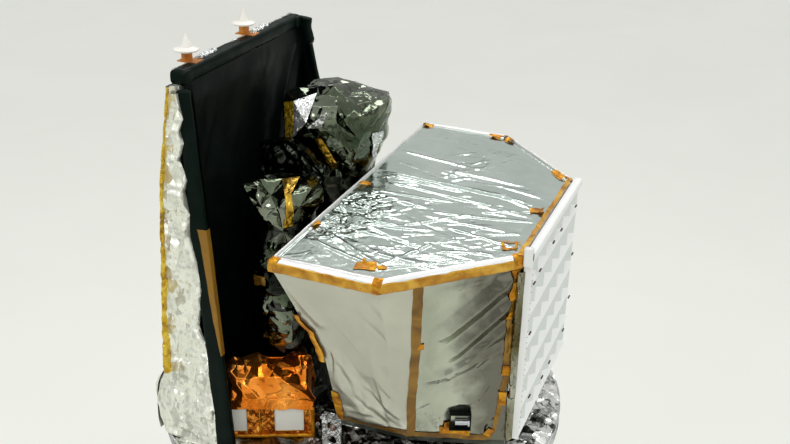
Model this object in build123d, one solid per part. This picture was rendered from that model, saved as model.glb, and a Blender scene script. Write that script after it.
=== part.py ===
from build123d import *
import math
import os

# A space observatory satellite, standing on its separation ring with both solar wings folded.
# All lengths are millimetres. The origin is the centre of the ring's bottom face, +Z is up,
# +X runs from the sunshade towards the imager's white radiator, and Y runs from wing to wing.

# Separation ring
RING_RADIUS = 800.0
RING_HEIGHT = 90.0
RING_FLANGE_INNER = 705.0
RING_TOP_INNER = 745.0
RING_WEB_RADIUS = 788.0
RING_WEB = 14.0
RING_FLANGE = 12.0
RING_TAPER = 6.0
RING_BOLT_RADIUS = 735.0
RING_BOLT_HOLE = 4.5
RING_BOLTS = 24

# Eight-sided bus
BUS_FLATS = 1900.0
BUS_HEIGHT = 2710.0
BUS_DECK = 50.0
BUS_POST_ARM = 60.0
BUS_POST_WALL = 30.0
BUS_PANEL = 25.0
BUS_PANEL_INSET = 5.0
BUS_RADIATOR = 8.0
BUS_RADIATOR_WIDTH = 560.0
BUS_RADIATOR_HEIGHT = 1080.0
BUS_RADIATOR_GAP = 90.0

# Round optical bench and the struts that carry it
BENCH_RADIUS = 1375.0
BENCH_THICKNESS = 100.0
BENCH_SKIN = 10.0
BENCH_EDGE_RECESS = 14.0
STRUT_RISE = 250.0
STRUT_RADIUS = 20.0
STRUT_SPREAD = 210.0
STRUT_CIRCLE = 860.0
STRUT_FOOT = 84.0
STRUT_FOOT_HEIGHT = 26.0

# Imager under the half-hexagon mask: heights are over the bench
MASK_HEIGHT = 1550.0
MASK_LONG_X = -50.0
MASK_LONG_HALF = 1200.0
MASK_SHORT_X = 1215.0
MASK_SHORT_HALF = 600.0
MASK_CORNER_X = 600.0
MASK_RIM_HEIGHT = 62.0
MASK_RIM_WIDTH = 46.0
MASK_RIM_ROUND = 12.0
MASK_FILM = 9.0
MASK_PANEL = 30.0
MASK_WALL_STEP = 15.0
SHELL_WALL = 28.0
SHELL_FOOT_HEIGHT = 300.0
SHELL_FOOT_LONG_X = 180.0
SHELL_FOOT_LONG_HALF = 800.0
SHELL_FOOT_CORNER_X = 650.0
SHELL_FOOT_CORNER_HALF = 780.0
SHELL_FOOT_SHORT_HALF = 600.0
IMAGER_BASE = 46.0
IMAGER_BASE_INSET = 10.0
LEG_WIDTH = 130.0
LEG_WALL = 14.0
LEG_FOOT = 65.0
LEG_HEAD_REACH = 156.0
LEG_HOLE = 34.0
LEG_HOLE_PITCH = 102.0
LEG_LONG_INSET = (-75.0, 55.0)
LEG_SHORT_INSET = (100.0, 40.0)

# Open port with its sensor in the near chamfered wall of the imager
PORT_X = 938.0
PORT_Y = -707.0
PORT_TURN = 22.0
PORT_RISE = 82.0
PORT_WIDTH = 130.0
PORT_HEIGHT = 116.0
PORT_DEPTH = 80.0
PORT_PROUD = 22.0
PORT_WALL = 8.0
SENSOR_RADIUS = 19.0
SENSOR_LENGTH = 86.0
SENSOR_FLANGE_RADIUS = 27.0
SENSOR_FLANGE = 10.0

# Folded radiator on the imager's short side
RADIATOR_CELLS = 6
RADIATOR_CELL_WIDTH = 198.0
RADIATOR_CELL_HEIGHT = 207.0
RADIATOR_PROUD = 16.0
RADIATOR_THICKNESS = 30.0
RADIATOR_STANDOFF = 25.0
RADIATOR_STANDOFF_RADIUS = 22.0
RADIATOR_FOLD = 21.0
RADIATOR_LIP = 13.0
RADIATOR_LIP_RISE = 62.0
RADIATOR_LIP_RETURN = 26.0

# Sunshade: a panel with two wings that widen downwards
SHADE_PANEL = 45.0
SHADE_WING = 40.0
SHADE_RIM_HEIGHT = 80.0
SHADE_RIM_WIDTH = 150.0
SHADE_RIM_WRAP = 22.0
SHADE_RIM_HALF = 742.0
SHADE_HOOD_DROP = 190.0
SHADE_HOOD_REACH = 34.0
SHADE_HOOD_WRAP = 16.0
SHADE_RIM_ROUND = 20.0
SHADE_STRIP = 65.0
SHADE_STRIP_WRAP = 10.0
SHADE_LINER = 8.0
SHADE_LINER_MARGIN = 70.0
SHADE_LINER_RISE = 24.0
SHADE_GUSSET = 120.0
SHADE_GUSSET_WALL = 10.0
SHADE_GUSSET_PLACES = (-850.0, -300.0, 300.0, 850.0)

# Antennas on the sunshade's top edge
ANTENNA_X = -920.0
ANTENNA_BASE_RADIUS = 33.0
ANTENNA_BASE_HEIGHT = 56.0
ANTENNA_BRIM_RADIUS = 77.0
ANTENNA_BRIM_EDGE = 6.0
ANTENNA_CONE_RADIUS = 38.0
ANTENNA_TIP_RADIUS = 5.0
ANTENNA_HEIGHT = 100.0
ANTENNA_PLATE = 6.0
ANTENNA_PLATE_MARGIN = 10.0
ANTENNA_PLATE_LENGTH = 130.0

# Telescopes
TUBE_WALL = 14.0
TUBE_FLANGE = 30.0
TUBE_FLANGE_THICKNESS = 16.0
TUBE_FLANGE_TAPER = 8.0
LID_THICKNESS = 28.0
LID_GAP = 1.0
LID_OVERHANG = 8.0
DOOR_AXIS_REACH = 26.0
DOOR_BRACKET_DROP = 78.0
KNUCKLE_RADIUS = 13.0
PIN_RADIUS = 6.0
PIN_CLEARANCE = 0.05
DOOR_TONGUE = 80.0
DOOR_EAR = 16.0
SIDE_PLAY = 1.0
COVER_GAP = 0.3
COVER_CAP = 48.0
COVER_CAP_EDGE = 14.0
COVER_CAP_SLOPE = 72.0
COVER_BELLY = 12.0

# Nested mirrors of the far telescope and the hood inside the near one
MIRROR_RINGS = 6
MIRROR_SPACING = 30.0
MIRROR_WALL = 4.0
MIRROR_HEIGHT = 70.0
MIRROR_MARGIN = 12.0
MIRROR_ARMS = 8
MIRROR_ARM = 6.0
MIRROR_ARM_DEPTH = 12.0
HOOD_RADIUS = 56.0
HOOD_WALL = 8.0
HOOD_HEIGHT = 150.0
HOOD_VANES = 3
HOOD_VANE_HEIGHT = 90.0

# Electronics box beside the near telescope
BOX_WIDTH = 538.0
BOX_DEPTH = 280.0
BOX_HEIGHT = 262.0
BOX_TURN = 24.6
BOX_CORNER_X = -561.0
BOX_CORNER_Y = -902.0
BOX_FRAME = 16.0
BOX_WINDOW_RECESS = 4.0
BOX_FOIL = 150.0
BOX_FOIL_SIDE = 18.0
BOX_FOIL_FRONT = 126.0
BOX_FOIL_BACK = 28.0

# Solar wings
PANEL_WIDTH = 636.0
PANEL_HEIGHT = 2400.0
PANEL_THICKNESS = 25.0
HINGE_EDGE = 12.0
FITTING_INSET = 16.0
FITTING_RADIUS = 10.0
LAYER_GAP = 24.0
YOKE_TUBE = 14.0
YOKE_START = 1090.0
YOKE_SPAR_HALF = 840.0
YOKE_SPAR_INSET = 34.0
YOKE_ROOT_HALF = 70.0
YOKE_ROOT_REACH = 60.0
YOKE_ARM = 12.0
WING_KNUCKLE = 9.0
WING_PIN = 4.0
WING_TONGUE = 30.0
WING_EAR = 10.0
WING_HINGE_OFFSETS = (-780.0, 780.0)
DRIVE_RADIUS = 85.0
DRIVE_LENGTH = 95.0
DRIVE_FLANGE_RADIUS = 120.0
DRIVE_FLANGE = 14.0
SHAFT_RADIUS = 40.0
SHAFT_ENGAGEMENT = 45.0
SHAFT_CLEARANCE = 0.05
SHAFT_PLATE = 14.0
SHAFT_PLATE_WIDTH = 60.0
SHAFT_PLATE_GAP = 12.0
SHAFT_EAR_ROOT = 14.0
HOLDDOWN_RADIUS = 15.6
HOLDDOWN_FOOT_RADIUS = 26.0
HOLDDOWN_FOOT = 20.0
HOLDDOWN_GAP = 6.0
HOLDDOWN_OFFSET = 560.0

# Levels that follow from the sizes above
BUS_BOTTOM = RING_HEIGHT
BUS_TOP = BUS_BOTTOM + BUS_HEIGHT
BENCH_BOTTOM = BUS_TOP + STRUT_RISE
BENCH_TOP = BENCH_BOTTOM + BENCH_THICKNESS
BUS_HALF = BUS_FLATS / 2
BUS_FACE = BUS_HALF - BUS_PANEL_INSET
MASK_TOP = BENCH_TOP + MASK_HEIGHT
RIM_TOP = MASK_TOP - MASK_FILM
RIM_BOTTOM = RIM_TOP - MASK_RIM_HEIGHT
SHELL_BOTTOM = BENCH_TOP + SHELL_FOOT_HEIGHT
SHELL_SHORT_X = MASK_SHORT_X - MASK_WALL_STEP
RADIATOR_TOP = MASK_TOP + RADIATOR_PROUD
WING_AXIS_Z = (BUS_BOTTOM + BUS_TOP) / 2

# Sunshade sections, from the bench upwards:
# height over the bench, outer corner x, outer corner y, front edge x, front edge y
SHADE_SECTIONS = (
    (0.0, -945.0, 990.0, -423.0, 1060.0),
    (1750.0, -916.0, 880.0, -688.0, 830.0),
    (2300.0, -884.0, 792.0, -765.0, 760.0),
)
SHADE_TOP = BENCH_TOP + SHADE_SECTIONS[-1][0]
SHADE_RIM_TOP = SHADE_TOP + SHADE_RIM_HEIGHT

# Telescopes: name, centre x, centre y, tube radius, tube height over the bench, bore depth,
# height of the film cover's foot, how far the cover stands out at its top and at its foot
TELESCOPES = (
    ("xray", -430.0, 450.0, 254.0, 1815.0, 320.0, 800.0, 46.0, 70.0),
    ("optical", -450.0, -250.0, 190.0, 1465.0, 260.0, 800.0, 38.0, 24.0),
)
COVER_TOP_DROP = 85.0

# Antenna places along the sunshade's top edge
ANTENNA_PLACES = (-535.0, 140.0)


def block(x0, x1, y0, y1, z0, z1):
    """A box between two corners."""
    size = Box(x1 - x0, y1 - y0, z1 - z0)
    return Pos((x0 + x1) / 2, (y0 + y1) / 2, (z0 + z1) / 2) * size


def prism(points, z0, z1):
    """An upright prism over a plan outline."""
    outline = make_face(Polyline(*points, close=True))
    return Pos(0, 0, z0) * extrude(outline, z1 - z0)


def prism_along_y(points, y0, y1):
    """A prism along Y over an outline of (x, z) points."""
    outline = make_face(Polyline(*[(x, y0, z) for x, z in points], close=True))
    return extrude(outline, y1 - y0, dir=(0, 1, 0))


def lathe(points, x=0.0, y=0.0):
    """A solid of revolution about an upright axis from (radius, height) points."""
    outline = make_face(Polyline(*[(r, 0, z) for r, z in points], close=True))
    return Pos(x, y, 0) * revolve(outline, Axis.Z)


def rod(start, end, radius):
    """A round bar between two points."""
    start, end = Vector(*start), Vector(*end)
    place = Plane(origin=start, z_dir=end - start)
    bar = Cylinder(radius, (end - start).length, align=(Align.CENTER, Align.CENTER, Align.MIN))
    return place * bar


def upright(x, y, z0, z1, radius):
    """A round bar along Z."""
    bar = Cylinder(radius, z1 - z0, align=(Align.CENTER, Align.CENTER, Align.MIN))
    return Pos(x, y, z0) * bar


def skin(sections):
    """A straight-sided loft through closed outlines given as (height, points)."""
    faces = []
    for height, points in sections:
        faces.append(make_face(Polyline(*[(x, y, height) for x, y in points], close=True)))
    return loft(faces, ruled=True)


def inset(points, distance):
    """A convex outline, listed counter-clockwise, drawn in by a distance."""
    result = []
    for i, (x, y) in enumerate(points):
        px, py = points[i - 1]
        nx, ny = points[(i + 1) % len(points)]
        before = math.hypot(x - px, y - py)
        after = math.hypot(nx - x, ny - y)
        ax, ay = (x - px) / before, (y - py) / before
        bx, by = (nx - x) / after, (ny - y) / after
        turn = ax * by - ay * bx
        result.append((x + distance * (bx - ax) / turn, y + distance * (by - ay) / turn))
    return result


def hull_plate(ax, ay, ar, bx, by, br, z0, z1):
    """A link plate between two round ends, flat in Z."""
    length = math.hypot(bx - ax, by - ay)
    ux, uy = (bx - ax) / length, (by - ay) / length
    web = [
        (ax - uy * ar, ay + ux * ar),
        (ax + uy * ar, ay - ux * ar),
        (bx + uy * br, by - ux * br),
        (bx - uy * br, by + ux * br),
    ]
    plate = prism(web, z0, z1)
    return plate + upright(ax, ay, z0, z1, ar) + upright(bx, by, z0, z1, br)


def separation_ring():
    section = [
        (RING_FLANGE_INNER, 0),
        (RING_RADIUS, 0),
        (RING_RADIUS, RING_FLANGE),
        (RING_WEB_RADIUS, RING_FLANGE + RING_TAPER),
        (RING_WEB_RADIUS, RING_HEIGHT - RING_FLANGE - RING_TAPER),
        (RING_RADIUS, RING_HEIGHT - RING_FLANGE),
        (RING_RADIUS, RING_HEIGHT),
        (RING_TOP_INNER, RING_HEIGHT),
        (RING_TOP_INNER, RING_HEIGHT - RING_FLANGE),
        (RING_WEB_RADIUS - RING_WEB, RING_HEIGHT - RING_FLANGE),
        (RING_WEB_RADIUS - RING_WEB, RING_FLANGE),
        (RING_FLANGE_INNER, RING_FLANGE),
    ]
    ring = lathe(section)
    holes = []
    for k in range(RING_BOLTS):
        angle = math.radians(360.0 / RING_BOLTS * k)
        x, y = RING_BOLT_RADIUS * math.cos(angle), RING_BOLT_RADIUS * math.sin(angle)
        holes.append(upright(x, y, -1, RING_FLANGE + 1, RING_BOLT_HOLE))
    return ring - holes


def bus_deck(z0):
    """A deck with the eight-sided outline of the bus."""
    radius = BUS_HALF / math.cos(math.radians(22.5))
    outline = RegularPolygon(radius, 8, rotation=22.5)
    return Pos(0, 0, z0) * extrude(outline, BUS_DECK)


def bus_posts():
    """Angle posts, one at each corner between two sides that meet at 135 degrees."""
    corner = BUS_HALF * math.tan(math.radians(22.5))
    depth = BUS_HALF - BUS_POST_WALL
    arm = [
        (BUS_HALF, corner),
        (BUS_HALF, corner - BUS_POST_ARM),
        (depth, corner - BUS_POST_ARM),
        (depth, depth * math.tan(math.radians(22.5))),
    ]
    low, high = BUS_BOTTOM + BUS_DECK, BUS_TOP - BUS_DECK
    arm = prism(arm, low, high)
    post = arm + Rot(0, 0, 45) * mirror(arm, about=Plane.XZ)
    return on_bus_faces(post, range(8))


def on_bus_faces(piece, faces):
    """Copies of a piece on the +X face, turned to the numbered faces."""
    return [Rot(0, 0, 45 * k) * piece for k in faces]


def bus_side_panels():
    half = BUS_HALF * math.tan(math.radians(22.5)) - BUS_POST_ARM
    low, high = BUS_BOTTOM + BUS_DECK, BUS_TOP - BUS_DECK
    panel = block(BUS_FACE - BUS_PANEL, BUS_FACE, -half, half, low, high)
    return on_bus_faces(panel, range(8))


def bus_radiators():
    middle = (BUS_BOTTOM + BUS_TOP) / 2
    half, gap = BUS_RADIATOR_WIDTH / 2, BUS_RADIATOR_GAP / 2
    face = BUS_FACE + BUS_RADIATOR
    plates = []
    for low in (middle - gap - BUS_RADIATOR_HEIGHT, middle + gap):
        plate = block(BUS_FACE, face, -half, half, low, low + BUS_RADIATOR_HEIGHT)
        plates += on_bus_faces(plate, (-1, 0, 1))
    return plates


def bench_struts():
    pairs = []
    low = BUS_TOP + STRUT_FOOT_HEIGHT / 2
    high = BENCH_BOTTOM - STRUT_FOOT_HEIGHT / 2
    half = STRUT_FOOT / 2
    for k in range(4):
        pair = block(
            STRUT_CIRCLE - half,
            STRUT_CIRCLE + half,
            -STRUT_FOOT,
            STRUT_FOOT,
            BENCH_BOTTOM - STRUT_FOOT_HEIGHT,
            BENCH_BOTTOM,
        )
        for side in (-1, 1):
            y = side * STRUT_SPREAD
            pair += block(
                STRUT_CIRCLE - half,
                STRUT_CIRCLE + half,
                y - half,
                y + half,
                BUS_TOP,
                BUS_TOP + STRUT_FOOT_HEIGHT,
            )
            top = (STRUT_CIRCLE, side * half, high)
            pair += rod((STRUT_CIRCLE, y, low), top, STRUT_RADIUS)
        pairs.append(Rot(0, 0, 90 * k + 45) * pair)
    return pairs


def optical_bench():
    edge = BENCH_RADIUS - BENCH_EDGE_RECESS
    section = [
        (0, BENCH_BOTTOM),
        (BENCH_RADIUS, BENCH_BOTTOM),
        (BENCH_RADIUS, BENCH_BOTTOM + BENCH_SKIN),
        (edge, BENCH_BOTTOM + 2 * BENCH_SKIN),
        (edge, BENCH_TOP - 2 * BENCH_SKIN),
        (BENCH_RADIUS, BENCH_TOP - BENCH_SKIN),
        (BENCH_RADIUS, BENCH_TOP),
        (0, BENCH_TOP),
    ]
    return lathe(section)


def mask_outline():
    return [
        (MASK_LONG_X, -MASK_LONG_HALF),
        (MASK_CORNER_X, -MASK_LONG_HALF),
        (MASK_SHORT_X, -MASK_SHORT_HALF),
        (MASK_SHORT_X, MASK_SHORT_HALF),
        (MASK_CORNER_X, MASK_LONG_HALF),
        (MASK_LONG_X, MASK_LONG_HALF),
    ]


def shell_foot():
    return [
        (SHELL_FOOT_LONG_X, -SHELL_FOOT_LONG_HALF),
        (SHELL_FOOT_CORNER_X, -SHELL_FOOT_CORNER_HALF),
        (SHELL_SHORT_X, -SHELL_FOOT_SHORT_HALF),
        (SHELL_SHORT_X, SHELL_FOOT_SHORT_HALF),
        (SHELL_FOOT_CORNER_X, SHELL_FOOT_CORNER_HALF),
        (SHELL_FOOT_LONG_X, SHELL_FOOT_LONG_HALF),
    ]


def imager_shell():
    head = inset(mask_outline(), MASK_WALL_STEP)
    outside = skin([(SHELL_BOTTOM, shell_foot()), (RIM_BOTTOM, head)])
    inside = skin(
        [(SHELL_BOTTOM, inset(shell_foot(), SHELL_WALL)), (RIM_BOTTOM, inset(head, SHELL_WALL))]
    )
    return outside - inside - port_block()


def at_port(piece):
    """Moves a piece from the port's foot to its place in the near chamfered wall."""
    return Pos(PORT_X, PORT_Y, SHELL_BOTTOM + PORT_RISE) * Rot(0, 0, PORT_TURN) * piece


def port_block():
    half = PORT_WIDTH / 2
    return at_port(block(-half, half, -PORT_PROUD, PORT_DEPTH - PORT_PROUD, 0, PORT_HEIGHT))


def imager_port():
    """A housing that is open to the front, with a flat back wall."""
    half, back = PORT_WIDTH / 2 - PORT_WALL, PORT_DEPTH - PORT_PROUD - PORT_WALL
    space = block(-half, half, -PORT_PROUD - PORT_WALL, back, PORT_WALL, PORT_HEIGHT - PORT_WALL)
    return port_block() - at_port(space)


def port_sensor():
    """A round sensor that lies across the port, flanged to its right wall."""
    wall = PORT_WIDTH / 2 - PORT_WALL
    y, z = -PORT_PROUD + SENSOR_FLANGE_RADIUS, PORT_WALL + SENSOR_FLANGE_RADIUS + PORT_WALL
    barrel = rod((wall, y, z), (wall - SENSOR_LENGTH, y, z), SENSOR_RADIUS)
    flange = rod((wall, y, z), (wall - SENSOR_FLANGE, y, z), SENSOR_FLANGE_RADIUS)
    return at_port(barrel + flange)


def imager_base():
    outline = inset(shell_foot(), IMAGER_BASE_INSET)
    return prism(outline, SHELL_BOTTOM - IMAGER_BASE, SHELL_BOTTOM)


def imager_legs():
    """Plates with round lightening holes between the bench and the imager's base."""
    height = SHELL_BOTTOM - IMAGER_BASE - BENCH_TOP
    half, foot = LEG_WIDTH / 2, LEG_FOOT / 2
    leg = block(-half, half, -LEG_WALL / 2, LEG_WALL / 2, 0, height)
    leg += block(-half, half, -foot, foot, 0, LEG_WALL)
    leg += block(-half, LEG_HEAD_REACH, -foot, foot, height - LEG_WALL, height)
    for step in (-LEG_HOLE_PITCH / 2, LEG_HOLE_PITCH / 2):
        leg -= Pos(0, 0, height / 2 + step) * Rot(90, 0, 0) * Cylinder(LEG_HOLE, LEG_WALL * 2)
    long_x = SHELL_FOOT_LONG_X + LEG_LONG_INSET[0]
    long_y = SHELL_FOOT_LONG_HALF - LEG_LONG_INSET[1]
    short_x = SHELL_SHORT_X - LEG_SHORT_INSET[0]
    short_y = SHELL_FOOT_SHORT_HALF - LEG_SHORT_INSET[1]
    legs = []
    for side in (-1, 1):
        legs.append(Pos(long_x, side * long_y, BENCH_TOP) * leg)
        legs.append(Pos(short_x, side * short_y, BENCH_TOP) * Rot(0, 0, 90) * leg)
    return legs


def mask_frame():
    outer, inner = mask_outline(), inset(mask_outline(), MASK_RIM_WIDTH)
    body = prism(outer, RIM_BOTTOM, RIM_TOP)
    upper = body.faces().sort_by(Axis.Z)[-1]
    body = fillet(upper.edges(), MASK_RIM_ROUND)
    return body - prism(inner, RIM_BOTTOM, RIM_TOP)


def mask_panel():
    top = RIM_TOP - MASK_RIM_ROUND
    return prism(inset(mask_outline(), MASK_RIM_WIDTH), top - MASK_PANEL, top)


def mask_film():
    return prism(inset(mask_outline(), MASK_RIM_ROUND), RIM_TOP, MASK_TOP)


def radiator_panel():
    """A sheet folded upright in plan, with a sharp lip along the foot of each row of cells."""
    back = SHELL_SHORT_X + RADIATOR_STANDOFF
    ridge = back + RADIATOR_THICKNESS
    valley = ridge - RADIATOR_FOLD
    half = RADIATOR_CELLS * RADIATOR_CELL_WIDTH / 2
    bottom = RADIATOR_TOP - RADIATOR_CELLS * RADIATOR_CELL_HEIGHT
    folds = [(back, half), (back, -half)]
    for k in range(RADIATOR_CELLS):
        y = -half + k * RADIATOR_CELL_WIDTH
        folds.append((ridge, y))
        folds.append((valley, y + RADIATOR_CELL_WIDTH / 2))
    folds.append((ridge, half))
    panel = prism(folds, bottom, RADIATOR_TOP)
    for k in range(RADIATOR_CELLS):
        foot = RADIATOR_TOP - (k + 1) * RADIATOR_CELL_HEIGHT
        lip = [
            (valley, foot + RADIATOR_LIP_RISE),
            (ridge + RADIATOR_LIP, foot),
            (valley, max(foot - RADIATOR_LIP_RETURN, bottom)),
        ]
        panel += prism_along_y(lip, -half, half)
    return panel


def radiator_standoffs():
    x = SHELL_SHORT_X
    posts = []
    for y in (-RADIATOR_CELL_WIDTH * 2, 0.0, RADIATOR_CELL_WIDTH * 2):
        for z in (RIM_BOTTOM - RADIATOR_CELL_HEIGHT, SHELL_BOTTOM + RADIATOR_CELL_HEIGHT):
            posts.append(rod((x, y, z), (x + RADIATOR_STANDOFF, y, z), RADIATOR_STANDOFF_RADIUS))
    return posts


def shade_section(height):
    """The sunshade's outline at any height over the bench."""
    for (low, *first), (high, *second) in zip(SHADE_SECTIONS, SHADE_SECTIONS[1:]):
        if height <= high:
            break
    share = (height - low) / (high - low)
    return (height, *[a + (b - a) * share for a, b in zip(first, second)])


def shade_slab(x_from, x_to, y_margin, bottom=0.0):
    """A slab across the sunshade between two distances from its outer face."""
    sections = []
    for height, x, y, _, _ in (shade_section(bottom), *SHADE_SECTIONS[1:]):
        half = y - y_margin
        x0, x1 = x + x_from, x + x_to
        outline = [(x0, -half), (x1, -half), (x1, half), (x0, half)]
        sections.append((BENCH_TOP + height, outline))
    return skin(sections)


def sunshade_panel():
    return shade_slab(0.0, SHADE_PANEL, 0.0)


def sunshade_liner():
    near, far = SHADE_PANEL + COVER_GAP, SHADE_PANEL + COVER_GAP + SHADE_LINER
    return shade_slab(near, far, SHADE_LINER_MARGIN, SHADE_GUSSET + SHADE_LINER_RISE)


def shade_side(start, stop, wrap, side, levels=SHADE_SECTIONS):
    """A strip of one side wing between two distances, measured from the panel or the front."""
    sections = []
    for height, x, y, front_x, front_y in levels:
        back_x = x + SHADE_PANEL
        length = front_x - back_x
        from_x = back_x if start is None else front_x + start
        to_x = front_x + stop
        y_from = y + (front_y - y) * (from_x - back_x) / length
        y_to = y + (front_y - y) * (to_x - back_x) / length
        points = [
            (from_x, side * (y_from + wrap)),
            (to_x, side * (y_to + wrap)),
            (to_x, side * (y_to - SHADE_WING - wrap)),
            (from_x, side * (y_from - SHADE_WING - wrap)),
        ]
        sections.append((BENCH_TOP + height, points))
    return skin(sections)


def sunshade_wings():
    return [shade_side(None, -SHADE_STRIP, 0.0, side) for side in (-1, 1)]


def sunshade_rim():
    """The wrapped edge: a roll over the top and a strip down the front of each side wing."""
    x0, half = SHADE_SECTIONS[-1][1] - SHADE_RIM_WRAP, SHADE_RIM_HALF
    bar = SHADE_PANEL + 2 * SHADE_RIM_WRAP
    outline = [
        (x0, -half),
        (x0 + SHADE_RIM_WIDTH, -half),
        (x0 + SHADE_RIM_WIDTH, -half + bar),
        (x0 + bar, -half + bar),
        (x0 + bar, half - bar),
        (x0 + SHADE_RIM_WIDTH, half - bar),
        (x0 + SHADE_RIM_WIDTH, half),
        (x0, half),
    ]
    roll = prism(outline, SHADE_TOP, SHADE_RIM_TOP)
    top = roll.faces().sort_by(Axis.Z)[-1]
    roll = fillet(top.edges(), SHADE_RIM_ROUND)
    for side in (-1, 1):
        roll += shade_side(-SHADE_STRIP, 0.0, SHADE_STRIP_WRAP, side)
    return roll + shade_hood()


def shade_hood():
    """The flap of the far end that folds down over the corner and the front strip."""
    levels = (shade_section(SHADE_SECTIONS[-1][0] - SHADE_HOOD_DROP), SHADE_SECTIONS[-1])
    return shade_side(-SHADE_STRIP, SHADE_HOOD_REACH, SHADE_HOOD_WRAP, 1, levels)


def sunshade_gussets():
    low, x = SHADE_SECTIONS[0][:2]
    high, x_above = SHADE_SECTIONS[1][:2]
    inner = x + SHADE_PANEL
    plates = []
    lean = (x_above - x) / (high - low)
    for y in SHADE_GUSSET_PLACES:
        outline = [
            (inner, BENCH_TOP),
            (inner + SHADE_GUSSET, BENCH_TOP),
            (inner + lean * SHADE_GUSSET, BENCH_TOP + SHADE_GUSSET),
        ]
        plates.append(prism_along_y(outline, y - SHADE_GUSSET_WALL / 2, y + SHADE_GUSSET_WALL / 2))
    return plates


def antenna_brackets():
    """A plate on the rolled edge and the stub that carries one antenna."""
    brackets = []
    top = SHADE_RIM_TOP + ANTENNA_PLATE
    for y in ANTENNA_PLACES:
        half = ANTENNA_BASE_RADIUS + ANTENNA_PLATE_MARGIN
        x0 = ANTENNA_X - half
        plate = block(x0, x0 + ANTENNA_PLATE_LENGTH, y - half, y + half, SHADE_RIM_TOP, top)
        plate += upright(ANTENNA_X, y, top, top + ANTENNA_BASE_HEIGHT, ANTENNA_BASE_RADIUS)
        brackets.append(plate)
    return brackets


def cone_antennas():
    low = SHADE_RIM_TOP + ANTENNA_PLATE + ANTENNA_BASE_HEIGHT
    section = [
        (0, low),
        (ANTENNA_BRIM_RADIUS - ANTENNA_BRIM_EDGE, low),
        (ANTENNA_BRIM_RADIUS, low + ANTENNA_BRIM_EDGE),
        (ANTENNA_BRIM_RADIUS, low + 2 * ANTENNA_BRIM_EDGE),
        (ANTENNA_CONE_RADIUS, low + 4 * ANTENNA_BRIM_EDGE),
        (ANTENNA_TIP_RADIUS, low + ANTENNA_HEIGHT - ANTENNA_TIP_RADIUS / 2),
        (0, low + ANTENNA_HEIGHT),
    ]
    return [lathe(section, ANTENNA_X, y) for y in ANTENNA_PLACES]


def tube_top(telescope):
    return BENCH_TOP + telescope[4]


def door_axis(telescope):
    """Where a telescope's door turns: x and z of a line along Y."""
    x, radius = telescope[1], telescope[3]
    return x - radius - DOOR_AXIS_REACH, tube_top(telescope) + LID_GAP + LID_THICKNESS / 2


def door_knuckle(telescope, y0, y1, leaf):
    """One knuckle on the door's axis with its arm, for the tube or for the lid."""
    _, x, y, radius = telescope[:4]
    top = tube_top(telescope)
    axis_x, axis_z = door_axis(telescope)
    barrel = rod((axis_x, y + y0, axis_z), (axis_x, y + y1, axis_z), KNUCKLE_RADIUS)
    edge = x - radius
    if leaf:
        low = axis_z - LID_THICKNESS / 2
        arm = block(axis_x, edge + LID_THICKNESS, y + y0, y + y1, low, axis_z + KNUCKLE_RADIUS)
    else:
        arm = prism_along_y(
            [
                (axis_x - KNUCKLE_RADIUS, axis_z),
                (axis_x + KNUCKLE_RADIUS, axis_z),
                (axis_x + KNUCKLE_RADIUS, top - LID_GAP),
                (edge + TUBE_WALL / 2, top - LID_GAP),
                (edge + TUBE_WALL / 2, top - DOOR_BRACKET_DROP),
            ],
            y + y0,
            y + y1,
        )
    return barrel + arm


def telescope_tube(telescope):
    _, x, y, radius, _, depth = telescope[:6]
    top = tube_top(telescope)
    axis_x, axis_z = door_axis(telescope)
    bore = radius - TUBE_WALL
    flange_top = BENCH_TOP + TUBE_FLANGE_THICKNESS
    section = [
        (0, BENCH_TOP),
        (radius + TUBE_FLANGE, BENCH_TOP),
        (radius + TUBE_FLANGE, flange_top),
        (radius, flange_top + TUBE_FLANGE_TAPER),
        (radius, top),
        (bore, top),
        (bore, top - depth),
        (0, top - depth),
    ]
    tube = lathe(section, x, y)
    ears = DOOR_TONGUE / 2 + SIDE_PLAY
    for y0, y1 in ((-ears - DOOR_EAR, -ears), (ears, ears + DOOR_EAR)):
        tube += door_knuckle(telescope, y0, y1, False)
    ends = y - ears - DOOR_EAR, y + ears + DOOR_EAR
    tube += rod((axis_x, ends[0], axis_z), (axis_x, ends[1], axis_z), PIN_RADIUS)
    return tube - upright(x, y, top - depth, top + 1, bore)


def telescope_lid(telescope):
    _, x, y, radius = telescope[:4]
    axis_x, axis_z = door_axis(telescope)
    low = tube_top(telescope) + LID_GAP
    lid = upright(x, y, low, low + LID_THICKNESS, radius + LID_OVERHANG)
    lid += door_knuckle(telescope, -DOOR_TONGUE / 2, DOOR_TONGUE / 2, True)
    hole = PIN_RADIUS + PIN_CLEARANCE
    lid -= rod((axis_x, y - DOOR_TONGUE, axis_z), (axis_x, y + DOOR_TONGUE, axis_z), hole)
    reach = KNUCKLE_RADIUS + SIDE_PLAY
    inner, outer = DOOR_TONGUE / 2, DOOR_TONGUE / 2 + DOOR_EAR + 2 * SIDE_PLAY
    for y0, y1 in ((y - outer, y - inner), (y + inner, y + outer)):
        lid -= rod((axis_x, y0, axis_z), (axis_x, y1, axis_z), reach)
    return lid


def cover_skirt(telescope):
    """The plain form of the loose film around a telescope tube."""
    _, x, y, radius, _, _, foot_height, head_out, foot_out = telescope
    foot = BENCH_TOP + foot_height
    high = tube_top(telescope) - COVER_TOP_DROP
    inner = radius + COVER_GAP
    belly = radius + (head_out + foot_out) / 2 + COVER_BELLY
    section = [
        (inner, foot),
        (radius + foot_out, foot),
        (belly, (foot + high) / 2),
        (radius + head_out, high),
        (inner, high),
    ]
    return lathe(section, x, y)


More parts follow.
